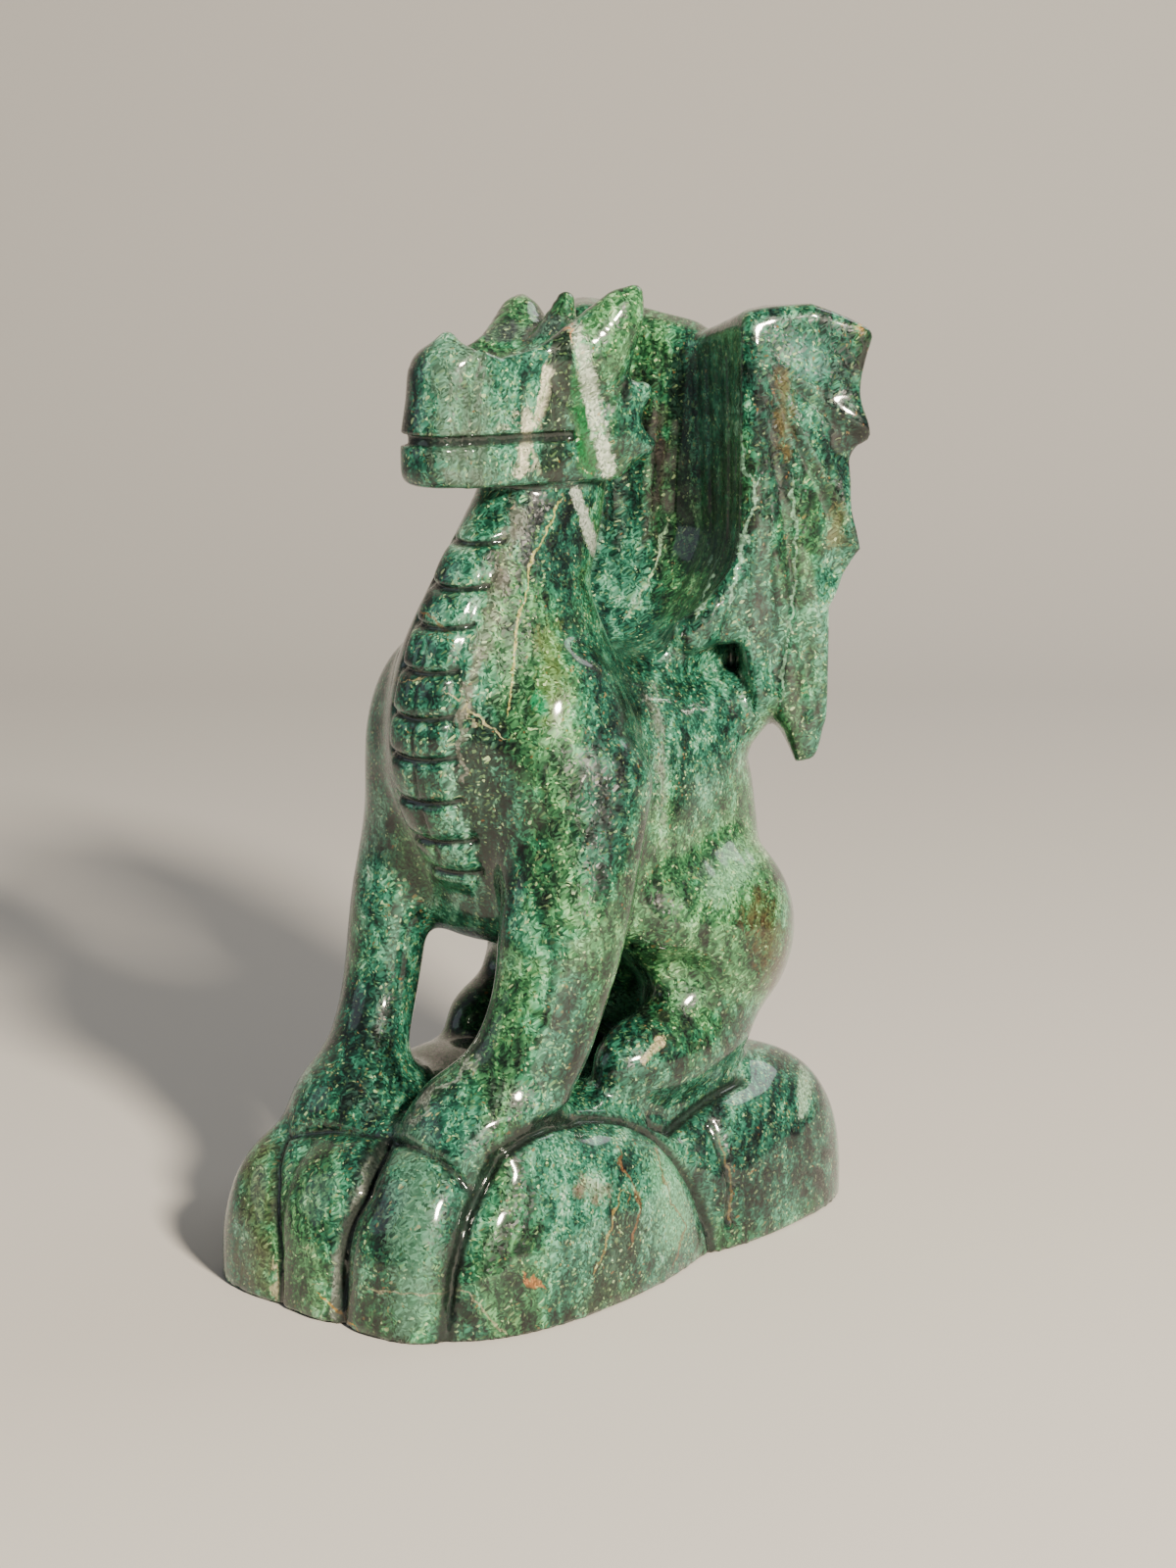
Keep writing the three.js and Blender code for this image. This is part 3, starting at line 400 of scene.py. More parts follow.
        # The inner faces meet in a rounded trough on the middle plane
        near = np.hypot(side, TROUGH_ROUND)
        sweep = np.clip((SWEEP["from"] - z) / (SWEEP["from"] - SWEEP["to"]), 0, 1.2)
        front = -SWEEP["reach"] * sweep**1.7
        inner_behind = (near - FOLD[0]) * SHEET[0] + (y - FOLD[1]) * SHEET[1]
        inner_outside = (near - FOLD[0]) * SHEET[1] - (y - FOLD[1]) * SHEET[0]
        inner = front - inner_behind + TROUGH_LEAN * inner_outside
        for at, wide, deep in FURROWS:
            drift = at + 1.5 * np.sin(z / 17 + at)
            inner = inner + deep * np.exp(-(((side - drift) / wide) ** 2)) * smooth((247 - z) / 16)
        hollow = BACK_HOLLOW * np.sin(np.pi * np.clip(side, 0, 2 * BACK_RISE) / (2 * BACK_RISE))
        cleft = BACK_CLEFT * np.exp(-((side / 5) ** 2)) + BACK_FALL * smooth((150 - z) / 44)
        back = 0.9 * (y - (BACK_CENTRE - hollow - cleft) - (self.wing_thickness - 10))
        edge = behind - self.scallops(z)
        trailing = self.wing_edge - 6.5
        d = meet(2, outside - rib, inner)
        d = meet(4, d, meet(5, back - trailing, edge))
        dip = CROWN_DIP["depth"] * np.maximum(0, 1 - side / CROWN_DIP["width"])
        hem = through(HEM, behind)
        outward = smooth((side - ROOT_EDGE[0]) / (ROOT_EDGE[1] - ROOT_EDGE[0]))
        hem = ROOT_HEM + (hem - ROOT_HEM) * outward
        d = meet(5, d, meet(4, z - through(CROWN, behind) + dip, hem - z))
        d = join(10, d, limb((side, y, z), WEB))
        return blend_in(d, 4, p, LIP, side)

    def head(self, p):
        px, py, z = p[0], p[1] - HEAD["y"], p[2]
        c, s = math.cos(HEAD["turn"]), math.sin(HEAD["turn"])
        forward = -py * c - px * s
        left = px * c - py * s
        side = np.abs(left)
        half = through(HEAD_HALF_WIDTH, forward)
        trough = 4.5 * np.clip(1 - (side / (half - 2.5)) ** 2, 0, 1) * smooth((28 - forward) / 12)
        top = through(HEAD_TOP, forward) - trough
        # The face is round in plan, and the nose slopes back above the mouth
        rounded = SNOUT_TIP - 10 - 0.2 * np.maximum(0, z - MOUTH_LINE)
        reach = np.where(forward > rounded, np.hypot(forward - rounded, side * 0.85) - 10, -20)
        d = meet(2.4, side - half, meet(3, z - top, JAW_UNDER - z))
        d = meet(5, d, np.maximum(reach, -forward - 19))
        q = (forward, side, z)
        for spike in (HORN, HORN_BLADE, *FRILL):
            d = blend_in(d, 5, (forward, side, z - HORN_TILT * left), spike)
        d = blend_in(d, 4, q, CREST)
        d = blend_in(d, 5, q, NOSE)
        slit = np.hypot(z - MOUTH_LINE + 0.5, np.maximum(0, -forward))
        return carve(0.8, d, np.maximum(slit - 1.45, -d - self.mouth_groove))

    def plates(self, p, d):
        x, z = p[0], p[2]
        edge = through(PLATE_HALF, z) - np.abs(x)
        inside = smooth(edge / 2.8 + 0.5)
        fade = smooth((199 - z) / 8) * smooth((z - 101) / 5)
        heights = np.array(PLATE_HEIGHTS)
        arched = z - 0.012 * x * x
        off = np.abs(arched[:, None] - heights).min(1)
        # Each plate swells between its grooves, and a line runs down the middle of the lower ones
        groove = np.exp(-((off / 1.15) ** 2)) + 0.4 * np.exp(-off / 2.2)
        middle = 0.8 * np.exp(-((x / 1.0) ** 2)) * smooth((180 - z) / 20) * smooth((z - 106) / 8)
        cut = self.plate_groove * np.maximum(groove, middle) * smooth(edge / 3 + 0.8)
        rim = 0.35 * np.exp(-((edge / 1.8) ** 2))
        return d - fade * (1.9 * inside - cut - rim)

    def grooves(self, x, y, z):
        """How deep each point lies in a cut groove, from nought to one, for the dark colour there: partly
        polishing slurry, partly painted shade.
        """
        s = self.scale
        p = [x, y, z]
        deep = smooth((self.rise + 3 - z) / 4) * self.cuts(p) / 2.6
        p = [x / s, y / s, self.drawn["rise"] + (z - self.rise) / s]
        flat = np.maximum(self.torso(p), 0)
        off = np.abs((p[2] - 0.012 * p[0] ** 2)[:, None] - PLATE_HEIGHTS).min(1)
        inside = (p[1] < -5) & (flat < 3) & (np.abs(p[0]) < through(PLATE_HALF, p[2]) + 1)
        inside &= (p[2] > 104) & (p[2] < 197)
        deep = np.maximum(deep, np.where(inside, np.exp(-((off / 1.1) ** 2)), 0))
        ahead = -(p[1] - HEAD["y"]) * math.cos(HEAD["turn"]) - p[0] * math.sin(HEAD["turn"])
        mouth = np.exp(-(((p[2] - MOUTH_LINE + 0.5) / 1.5) ** 4)) * smooth((ahead + 2) / 2)
        return np.clip(np.maximum(deep, mouth), 0, 1)

    def figure(self, p):
        x, y, z = p
        d = self.torso(p)

        def where(mask, part, k=None):
            if mask.any():
                q = [c[mask] for c in p]
                d[mask] = part(q, d[mask]) if k is None else join(k, d[mask], part(q))

        where((y < -5) & (z < 200) & (z > 98), self.plates)
        low = z < 160
        where(low & (x > 0) & (y < 10), lambda q: self.foreleg(q, FORELEG_LEFT, 1), 7)
        where(low & (x < 0) & (y < 10), lambda q: self.foreleg(q, FORELEG_RIGHT, -1), 7)
        where((z > 90) & (y > -10), self.wings, 6)
        where(z > 190, self.head, 2.5)
        where(z <= 110, self.paws, 10)
        return blend_in(d, 5, p, TAIL)

    def __call__(self, x, y, z):
        s = self.scale
        d = s * self.figure([x / s, y / s, self.drawn["rise"] + (z - self.rise) / s])
        low = z <= self.rise + 30
        if low.any():
            p = [x[low], y[low], z[low]]
            fade = smooth((self.rise + 3 - p[2]) / 4) * (0.4 + 0.6 * smooth(p[2] / 12))
            d[low] = join(8, d[low], self.mound(p)) + fade * self.cuts(p)
        return np.maximum(d, -z)


# Meshing the surface where the distance is nought


def in_lots(field, points, lot=40000):
    """The field at many points, a lot at a time."""
    found = [field(*points[i : i + lot].T) for i in range(0, len(points), lot)]
    return np.concatenate(found) if found else np.zeros(0)


def sample(field, low, counts, step, halvings):
    """The field on a grid, exact near the surface: each halving of the step keeps to its band."""
    step = step * 2**halvings
    counts = np.array(counts)
    axes = [low[i] + step * np.arange(counts[i]) for i in range(3)]
    grid = np.stack(np.meshgrid(*axes, indexing="ij"), -1).reshape(-1, 3)
    values = in_lots(field, grid).reshape(counts)
    for _ in range(halvings):
        for axis in range(3):
            values = np.moveaxis(values, axis, 0)
            finer = np.empty((2 * len(values) - 1, *values.shape[1:]))
            finer[::2] = values
            finer[1::2] = (values[1:] + values[:-1]) / 2
            values = np.moveaxis(finer, 0, axis)
        step /= 2
        near = np.argwhere(np.abs(values) < 1.5 * step + 1.5)
        values[tuple(near.T)] = in_lots(field, low + step * near)
    return values


def surface_net(values, low, step):
    """A point in each cell that the surface crosses, and a quad across each grid edge it cuts."""
    solid = values < 0
    corners = [(i, j, k) for i in (0, 1) for j in (0, 1) for k in (0, 1)]
    n = np.array(values.shape) - 1
    count = sum(solid[i : i + n[0], j : j + n[1], k : k + n[2]].astype(np.int8) for i, j, k in corners)
    cells = np.argwhere((count > 0) & (count < 8))
    number = np.full(n, -1, np.int64)
    number[tuple(cells.T)] = np.arange(len(cells))
    total = np.zeros((len(cells), 3))
    hits = np.zeros(len(cells))
    for a in corners:
        for b in corners:
            if sum(np.subtract(b, a)) != 1 or min(np.subtract(b, a)) < 0:
                continue
            va, vb = values[tuple((cells + a).T)], values[tuple((cells + b).T)]
            cut = (va < 0) != (vb < 0)
            t = va[cut] / (va[cut] - vb[cut])
            total[cut] += np.array(a) + t[:, None] * np.subtract(b, a)
            hits[cut] += 1
    points = low + step * (cells + total / hits[:, None])
    quads = []
    for axis in range(3):
        first = np.moveaxis(solid, axis, 0)
        flips = np.argwhere(np.moveaxis(first[1:] != first[:-1], 0, axis))
        u, v = (axis + 1) % 3, (axis + 2) % 3
        flips = flips[(flips[:, u] > 0) & (flips[:, v] > 0) & (flips[:, u] < n[u]) & (flips[:, v] < n[v])]
        eu, ev = np.eye(3, dtype=int)[u], np.eye(3, dtype=int)[v]
        ring = [number[tuple((flips - back).T)] for back in (eu + ev, ev, 0 * eu, eu)]
        quad = np.stack(ring, 1)
        leaving = solid[tuple(flips.T)]
        quads.append(np.where(leaving[:, None], quad, quad[:, ::-1]))
    return points, np.concatenate(quads)


def slopes(field, points, reach=0.04):
    """The field and its gradient at each point."""
    d = in_lots(field, points)
    steps = [in_lots(field, points + reach * np.eye(3)[i]) for i in range(3)]
    return d, (np.stack(steps, 1) - d[:, None]) / reach


def settle(field, points, rounds):
    """Move points onto the surface along the gradient."""
    for _ in range(rounds):
        d, g = slopes(field, points)
        size = np.maximum((g**2).sum(1), 0.2)
        move = -(d / size)[:, None] * g
        longest = np.maximum(np.linalg.norm(move, axis=1) / 0.6, 1)
        points = points + move / longest[:, None]
    points[:, 2] = np.maximum(points[:, 2], 0)
    return points


def mesh_of(name, points, faces):
    mesh = bpy.data.meshes.new(name)
    mesh.vertices.add(len(points))
    mesh.vertices.foreach_set("co", np.ascontiguousarray(points, np.float32).ravel())
    mesh.loops.add(faces.size)
    mesh.loops.foreach_set("vertex_index", np.ascontiguousarray(faces, np.int32).ravel())
    mesh.polygons.add(len(faces))
    corners = faces.shape[1]
    mesh.polygons.foreach_set("loop_start", np.arange(len(faces), dtype=np.int32) * corners)
    mesh.update(calc_edges=True)
    mesh.validate()
    return mesh


def thinned(mesh, triangles):
    """The mesh with its flatter faces merged until about so many triangles are left."""
    count = sum(len(p.vertices) - 2 for p in mesh.polygons)
    holder = bpy.data.objects.new("thinning", mesh)
    bpy.context.scene.collection.objects.link(holder)
    modifier = holder.modifiers.new("thin", "DECIMATE")
    modifier.ratio = min(1, triangles / count)
    modifier.use_collapse_triangulate = True
    evaluated = holder.evaluated_get(bpy.context.evaluated_depsgraph_get())
    out = bpy.data.meshes.new_from_object(evaluated)
    bpy.data.objects.remove(holder)
    return out


def unpinched(mesh, rounds=8):
    """Cut out and close again the few spots where thinning left an edge on other than two faces."""
    work = bmesh.new()
    work.from_mesh(mesh)
    for _ in range(rounds):
        pinched = {v for edge in work.edges if len(edge.link_faces) != 2 for v in edge.verts}
        if not pinched:
            break
        spots = [face for face in work.faces if pinched.intersection(face.verts)]
        bmesh.ops.delete(work, geom=spots, context="FACES")
        rim = [edge for edge in work.edges if edge.is_boundary]
        filled = bmesh.ops.holes_fill(work, edges=rim, sides=0)["faces"]
        bmesh.ops.triangulate(work, faces=filled)
    bmesh.ops.recalc_face_normals(work, faces=work.faces)
    work.to_mesh(mesh)
    work.free()
    return mesh


def carved_mesh(sizes):
    field = Carving(sizes)
    step = sizes.finest / MM
    halvings = 2
    coarse = step * 2**halvings
    low = np.array([-sizes.mound_width / MM * 0.5 - 14, -sizes.mound_length / MM * 0.5 - 12, -1.5 * step])
    high = np.array([-low[0], -low[1], (sizes.mound_rise + sizes.figure_height) / MM + 8])
    counts = np.ceil((high - low) / coarse).astype(int) + 1
    values = sample(field, low, counts, step, halvings)
    points, quads = surface_net(values, low, step)
    points = settle(field, points, 2)
    mesh = unpinched(thinned(mesh_of("rough", points, quads), sizes.triangles))
    points = np.empty(len(mesh.vertices) * 3, np.float32)
    mesh.vertices.foreach_get("co", points)
    points = settle(field, points.reshape(-1, 3).astype(float), 1)
    middle = (points.min(0) + points.max(0)) / 2
    placed = (points - (middle[0], middle[1], 0)) * MM
    mesh.vertices.foreach_set("co", placed.astype(np.float32).ravel())
    mesh.polygons.foreach_set("use_smooth", np.ones(len(mesh.polygons), bool))
    mesh.update()
    mesh.name = "carved_dragon"
    lay_marks(mesh, field, middle)
    return mesh


# The marks in the block, and the painted highlights and shade laid out like them

BED_TURN = math.radians(40)
CRACK_UNIT = 0.38  # half width in millimetres that a crack is drawn with when its share is one

# Marks in the block, and a few painted highlights and painted shade laid out like them, as
# (colour, half width, strength, ragged edge, depth share) and the points of a line through the
# stone. A depth share near nought lets a mark run deep into the block.
MARKS = (
    # Head: pale and dark beds behind the cheek, cream vein, warm patch on the ridge
    (("#55585c", 3.2, 0.55, 1.6, 0.5), (-12, -4, 245), (2, 2, 247)),
    (("#0a6a30", 2.6, 0.75, 0.9, 0.15), (16.6, -3.5, 236), (17, -0.8, 211)),
    (("#14160d", 3.0, 0.8, 1.2, 0.15), (15, -8.3, 244), (14, -12, 211)),
    (("#d3dfca", 1.9, 0.86, 1.5, 0.12), (16.6, -4.4, 246.5), (17.8, 0.7, 225.5), (19.1, 4.8, 210)),
    (("#e6e0c4", 1.6, 0.9, 1.2, 0.12), (13.6, -13, 236), (12.7, -16.4, 229), (11.5, -21, 211.5)),
    (("#cf9468", 0.9, 0.9, 0.6, 0.5), (15.3, -5.2, 246.2), (15.4, -5, 243)),
    # A broad pale band down the front of the snout is a painted highlight
    (("#86a58c", 7.5, 0.32, 5.0, 0.3), (6, -38, 240), (8, -36, 212)),
    # Neck and chest: grey bands, the brown-black bed and the cracks along them
    (("#b9c1b5", 1.4, 0.85, 0.6, 0.12), (14.3, -2.5, 205), (15.2, 1.5, 195), (15.8, 4, 188)),
    (("#1c1d22", 3.0, 0.75, 1.6, 0.15), (9.9, -15.7, 202), (11.8, -21, 191)),
    (("#7d7a70", 2.2, 0.6, 2.6, 0.15), (8.4, -18, 200), (11.3, -29.7, 181), (12.5, -37.8, 167)),
    (("#8f8c80", 1.5, 0.75, 1.2, 0.15), (12.5, -37.8, 167), (11.5, -44, 150)),
    (("#080c09", 5.8, 0.8, 4.6, 0.2), (16.5, -41, 147), (14.4, -42.4, 136), (14.9, -37.2, 120)),
    (("#080c09", 4.0, 0.8, 3.6, 0.2), (14.9, -37.2, 120), (13.7, -33, 106)),
    (("#7c7a70", 0.8, 0.8, 0.8, 0.15), (11.8, -42, 158), (11.6, -44.4, 147), (12, -44, 136)),
    (("#a08a62", 0.45, 0.7, 0.5, 0.1), (-22, -33, 158), (-0.1, -45.5, 160)),
    (("#9a6a3a", 0.6, 0.6, 0.6, 0.1), (-4.2, -39.5, 175), (2.9, -39.7, 172)),
    (("#c3b98a", 0.3, 0.9, 0.2, 0.08), (8.7, -44.8, 156), (14.4, -42, 152), (19.9, -39, 146.4)),
    (("#bfb46c", 0.3, 0.85, 0.25, 0.08), (13.3, -8, 202.6), (13.8, -18.4, 190), (17.1, -28.7, 172.5)),
    (("#bfb46c", 0.3, 0.85, 0.25, 0.08), (17.1, -28.7, 172.5), (21.1, -36.4, 153)),
    (("#7f9448", 3.0, 0.35, 3.6, 0.3), (22.4, -22.6, 168.6), (29.8, -29, 152)),
    (("#0c8a58", 1.6, 0.8, 1.4, 0.3), (27, -32.4, 156), (28.6, -31.8, 152.5)),
    # Shoulder and flank
    (("#98a090", 1.05, 0.5, 2.2, 0.15), (21.9, 20.8, 151.6), (33.1, 10.8, 128), (34.6, 9, 112)),
    (("#14221a", 2.6, 0.55, 3.0, 0.2), (32.4, 19.2, 136), (34.7, 19.8, 116)),
    # Haunch and hind leg
    (("#8cc79b", 4.0, 0.5, 4.4, 0.3), (40, 36.7, 102.6), (41.8, 24, 98)),
    (("#5f4520", 4.0, 0.45, 4.6, 0.3), (47.3, 35.2, 92), (42.2, 51.6, 67)),
    (("#8cc0a0", 4.6, 0.5, 4.4, 0.3), (6.5, 26.7, 56.5), (12, 24, 60)),
    (("#d9c79a", 1.1, 0.8, 0.9, 0.2), (38.3, 4, 60), (37.7, -2.3, 56)),
    # Mound: the grey vein down its front
    (("#0d191b", 5.0, 0.32, 3.8, 0.2), (-9.8, -77.6, 36), (-0.3, -83.8, 24)),
    (("#0e150f", 1.8, 0.45, 2.2, 0.2), (12.8, -85.3, 20), (11.9, -86, 4)),
    (("#23302a", 3.4, 0.35, 3.0, 0.2), (22, -51.4, 66), (10, -68, 47)),
    (("#8b948a", 0.95, 0.75, 1.1, 0.15), (22, -51.4, 64), (12.8, -61.7, 53), (5, -73.7, 35.3)),
    (("#a3a79c", 1.15, 0.8, 1.0, 0.15), (5, -73.7, 35.3), (4.6, -84, 17), (5, -86, 2)),
    (("#c8bd96", 0.8, 0.8, 0.7, 0.2), (-17.5, -85.6, 9), (-17, -86, 1)),
    (("#d09a35", 0.35, 0.9, 0.3, 0.1), (1.9, -87.2, 6), (7, -87, 3.4), (13.4, -86.6, 0.5)),
    (("#a89c7e", 0.3, 0.6, 0.5, 0.1), (18.5, -86.3, 12.4), (30, -82, 13.2), (39.4, -73, 12), (45, -67.3, 2)),
    (("#b06a34", 0.9, 0.8, 1.0, 0.3), (47, -60, 15), (48.5, -57, 12)),
    (("#74b392", 5.5, 0.45, 4.5, 0.3), (18.5, -71.6, 44), (27.3, -79.3, 31), (29.7, -84, 8)),
    (("#7d7f57", 4.5, 0.35, 4.5, 0.3), (-31.7, -77.6, 34), (-23.5, -86.1, 6)),
    # Mound: pale, dark and rusty stone on the dome, and a painted highlight on the back corner
    (("#78c496", 4.4, 0.6, 3.6, 0.3), (48, -6, 30), (49.5, -3, 12)),
    (("#191810", 5.4, 0.75, 4.0, 0.3), (52, -26, 17), (52.3, -38, 3)),
    (("#a58a76", 2.4, 0.4, 2.8, 0.3), (47.4, -36.9, 33), (49, -33, 30)),
    (("#84522e", 0.34, 0.6, 0.7, 0.15), (46.5, -24, 38), (50.8, -19, 23), (52, -24.6, 15)),
    (("#8a5630", 0.3, 0.6, 0.7, 0.15), (45, -6, 34), (49.9, -6.9, 22), (50.1, 0.4, 11.6), (51.4, -5.4, 4)),
    (("#a3884a", 0.32, 0.65, 0.6, 0.15), (50.9, -28.5, 27), (51.8, -38.3, 12)),
    (("#93794a", 0.38, 0.65, 0.5, 0.15), (45.4, 20, 29), (47.5, 23.4, 19), (48.8, 21.9, 8)),
    # A pale patch on the back corner of the mound is a painted highlight
    (("#acd0b2", 2.4, 0.7, 1.6, 0.3), (43.4, 63, 36), (44, 60, 30)),
    # Wings: pale lines on and beside the fold, three of them painted highlights, warm spots, and in the
    # trough a dark bed of painted shade and a pink bed
    # The next three pale lines are painted highlights: the first two along the fold's ridge, the third along
    # the lit side of the seam on the outer face
    (("#a9dabd", 0.6, 0.6, 0.6, 0.1), (25.3, 51.9, 229.6), (27, 51, 218), (30.6, 48.8, 205.6)),
    (("#a9dabd", 0.6, 0.6, 0.6, 0.1), (33.7, 49.9, 204.7), (32.3, 49, 194.6), (29.9, 43.7, 173)),
    (("#93bd9f", 0.5, 0.6, 0.5, 0.1), (40.7, 57.3, 205), (41.1, 58.2, 178.5), (38.4, 55.5, 146)),
    (("#7d6a35", 1.5, 0.4, 2.6, 0.3), (38.7, 55, 233), (39.4, 55.3, 213)),
    (("#4f8f82", 4.4, 0.4, 4.0, 0.3), (41, 60, 240), (43, 62, 236)),
    (("#b98a3f", 1.2, 0.8, 1.0, 0.5), (52, 70, 248), (52.4, 71, 245)),
    (("#8a8552", 2.2, 0.5, 2.6, 0.3), (47.5, 68.6, 196), (47, 68, 189)),
    # A dark bed down the far wing's inner face is painted shade in the trough
    (("#111b19", 2.8, 0.7, 2.2, 0.15), (-5, 63.9, 235), (-2, 64.8, 190)),
    (("#94b493", 0.5, 0.75, 0.5, 0.1), (-7.3, 62.7, 188), (-7.4, 57.6, 178), (-7.2, 45.2, 165.4)),
    (("#5c524d", 1.1, 0.42, 2.0, 0.12), (-9.2, 62.7, 222), (-8.2, 62.4, 204.5), (-12.3, 60.1, 186)),
    (("#a9d2b6", 0.6, 0.75, 0.6, 0.1), (18.8, 52.4, 182), (23.2, 38.6, 170)),
)


def in_sheet(p, share):
    """Points in millimetres turned to face the beds, with their depth shortened."""
    c, s = math.cos(BED_TURN), math.sin(BED_TURN)
    return np.stack((p[..., 0] * c + p[..., 1] * s, share * (p[..., 1] * c - p[..., 0] * s), p[..., 2]), -1)


def lay_marks(mesh, field, middle, widest_crack=1.0):
    """Store on the mesh how far each vertex lies from the marks in the block and from the painted highlights
    and shade, and their colours.

    A bed is kept as the distance to its edge in units of its ragged edge, and a crack as the
    offset to one side of it, so that both stay sharp between the vertices.
    """
    count = len(mesh.vertices)
    points = np.empty(count * 3, np.float32)
    mesh.vertices.foreach_get("co", points)
    points = points.reshape(-1, 3).astype(float) / MM
    far = 40.0
    fields = {name: np.full(count, far) for name in ("wide_mark_and_painted_light_edge", "line_mark_and_highlight_offset", "line_mark_and_highlight_near")}
    fields["groove"] = field.grooves(*(points + (middle[0], middle[1], 0)).T)
    colours = {name: np.zeros((count, 4)) for name in ("wide_mark_and_painted_light_colour", "line_mark_and_highlight_colour")}
    for (code, half, strength, rag, share), *line in MARKS:
        q = in_sheet(points, share)
        line = in_sheet(np.array(line, float), share)
        away = np.full(count, far)
        turn = np.ones(count)
        for a, b in zip(line[:-1], line[1:]):
            u, w = b - a, q - a
            t = np.clip(w @ u / (u @ u), 0, 1)
            d = np.linalg.norm(w - t[:, None] * u, axis=1)
            nearer = d < away
            away[nearer] = d[nearer]
            turn[nearer] = np.sign(w[:, 0] * u[2] - w[:, 2] * u[0])[nearer]
        colour = (*linear(code, alpha=False), strength)
        if half > widest_crack:
            reach = (away - half) / rag
            won = (reach < 0) | (reach < fields["wide_mark_and_painted_light_edge"])
            fields["wide_mark_and_painted_light_edge"][won] = reach[won]
            colours["wide_mark_and_painted_light_colour"][won] = colour
        else:
            won = away < fields["line_mark_and_highlight_near"]
            fields["line_mark_and_highlight_near"][won] = away[won]
            fields["line_mark_and_highlight_offset"][won] = (turn * away * CRACK_UNIT / half)[won]
            colours["line_mark_and_highlight_colour"][won] = colour
    for name, values in fields.items():
        mesh.attributes.new(name, "FLOAT", "POINT").data.foreach_set("value", values.astype(np.float32))
    for name, values in colours.items():
        layer = mesh.attributes.new(name, "FLOAT_COLOR", "POINT")
        layer.data.foreach_set("color", values.astype(np.float32).ravel())


# The stone


# Kinds of node that the stone uses again and again
MATH = "ShaderNodeMath"
VECTOR = "ShaderNodeVectorMath"
NOISE = "ShaderNodeTexNoise"
RANGE = "ShaderNodeMapRange"
MIX = "ShaderNodeMix"
STORED = "ShaderNodeAttribute"

# Three greens from dark to light, at these tones
TONES = (0.26, 0.38, 0.50, 0.62, 0.76, 0.9)
EMERALD = ("#07140f", "#0d3023", "#19553b", "#307b54", "#66b080", "#a8d5ac")
SLATE = ("#071211", "#0f2c25", "#1b4f3f", "#30745c", "#67a789", "#a9ccb4")
OLIVE = ("#0e1209", "#1d3217", "#345729", "#557d3c", "#88ab69", "#c0d299")

# Sizes of the patterns in millimetres: across the beds, along them and upright
WANDER, WANDER_REACH = 34, (16.0, 6.0, 8.0)
QUIVER, QUIVER_REACH, GRAIN_REACH = 2.6, (2.2, 1.2, 2.2), (2.0, 2.0, 2.0)
BED_SIZE = (12, 50, 46)
STREAK_SIZE = (1.9, 10, 9)
TINT_SIZE = (24, 60, 60)
CLUMP_SIZE = 4.5
GRAIN_SIZE = 0.62
WAVER_SIZE, WAVER_HEIGHT = 7.0, 0.0004
FLAKE_TILT = 0.3
SMOOTH = {"interpolation_type": "SMOOTHSTEP"}
BLEND = {"data_type": "RGBA", "out": 2}


def add(tree, kind, sockets, out=0, **settings):
    """Add a node with its settings and give one of its outputs. The sockets are values or other
    outputs, in order from the first or by name or number."""
    node = tree.nodes.new(kind)
    for key, value in settings.items():
        setattr(node, key, value)
    for key, value in sockets.items() if isinstance(sockets, dict) else enumerate(sockets):
        if isinstance(value, bpy.types.NodeSocket):
            tree.links.new(value, node.inputs[key])
        else:
            node.inputs[key].default_value = value
    return node.outputs[out] if node.outputs else None


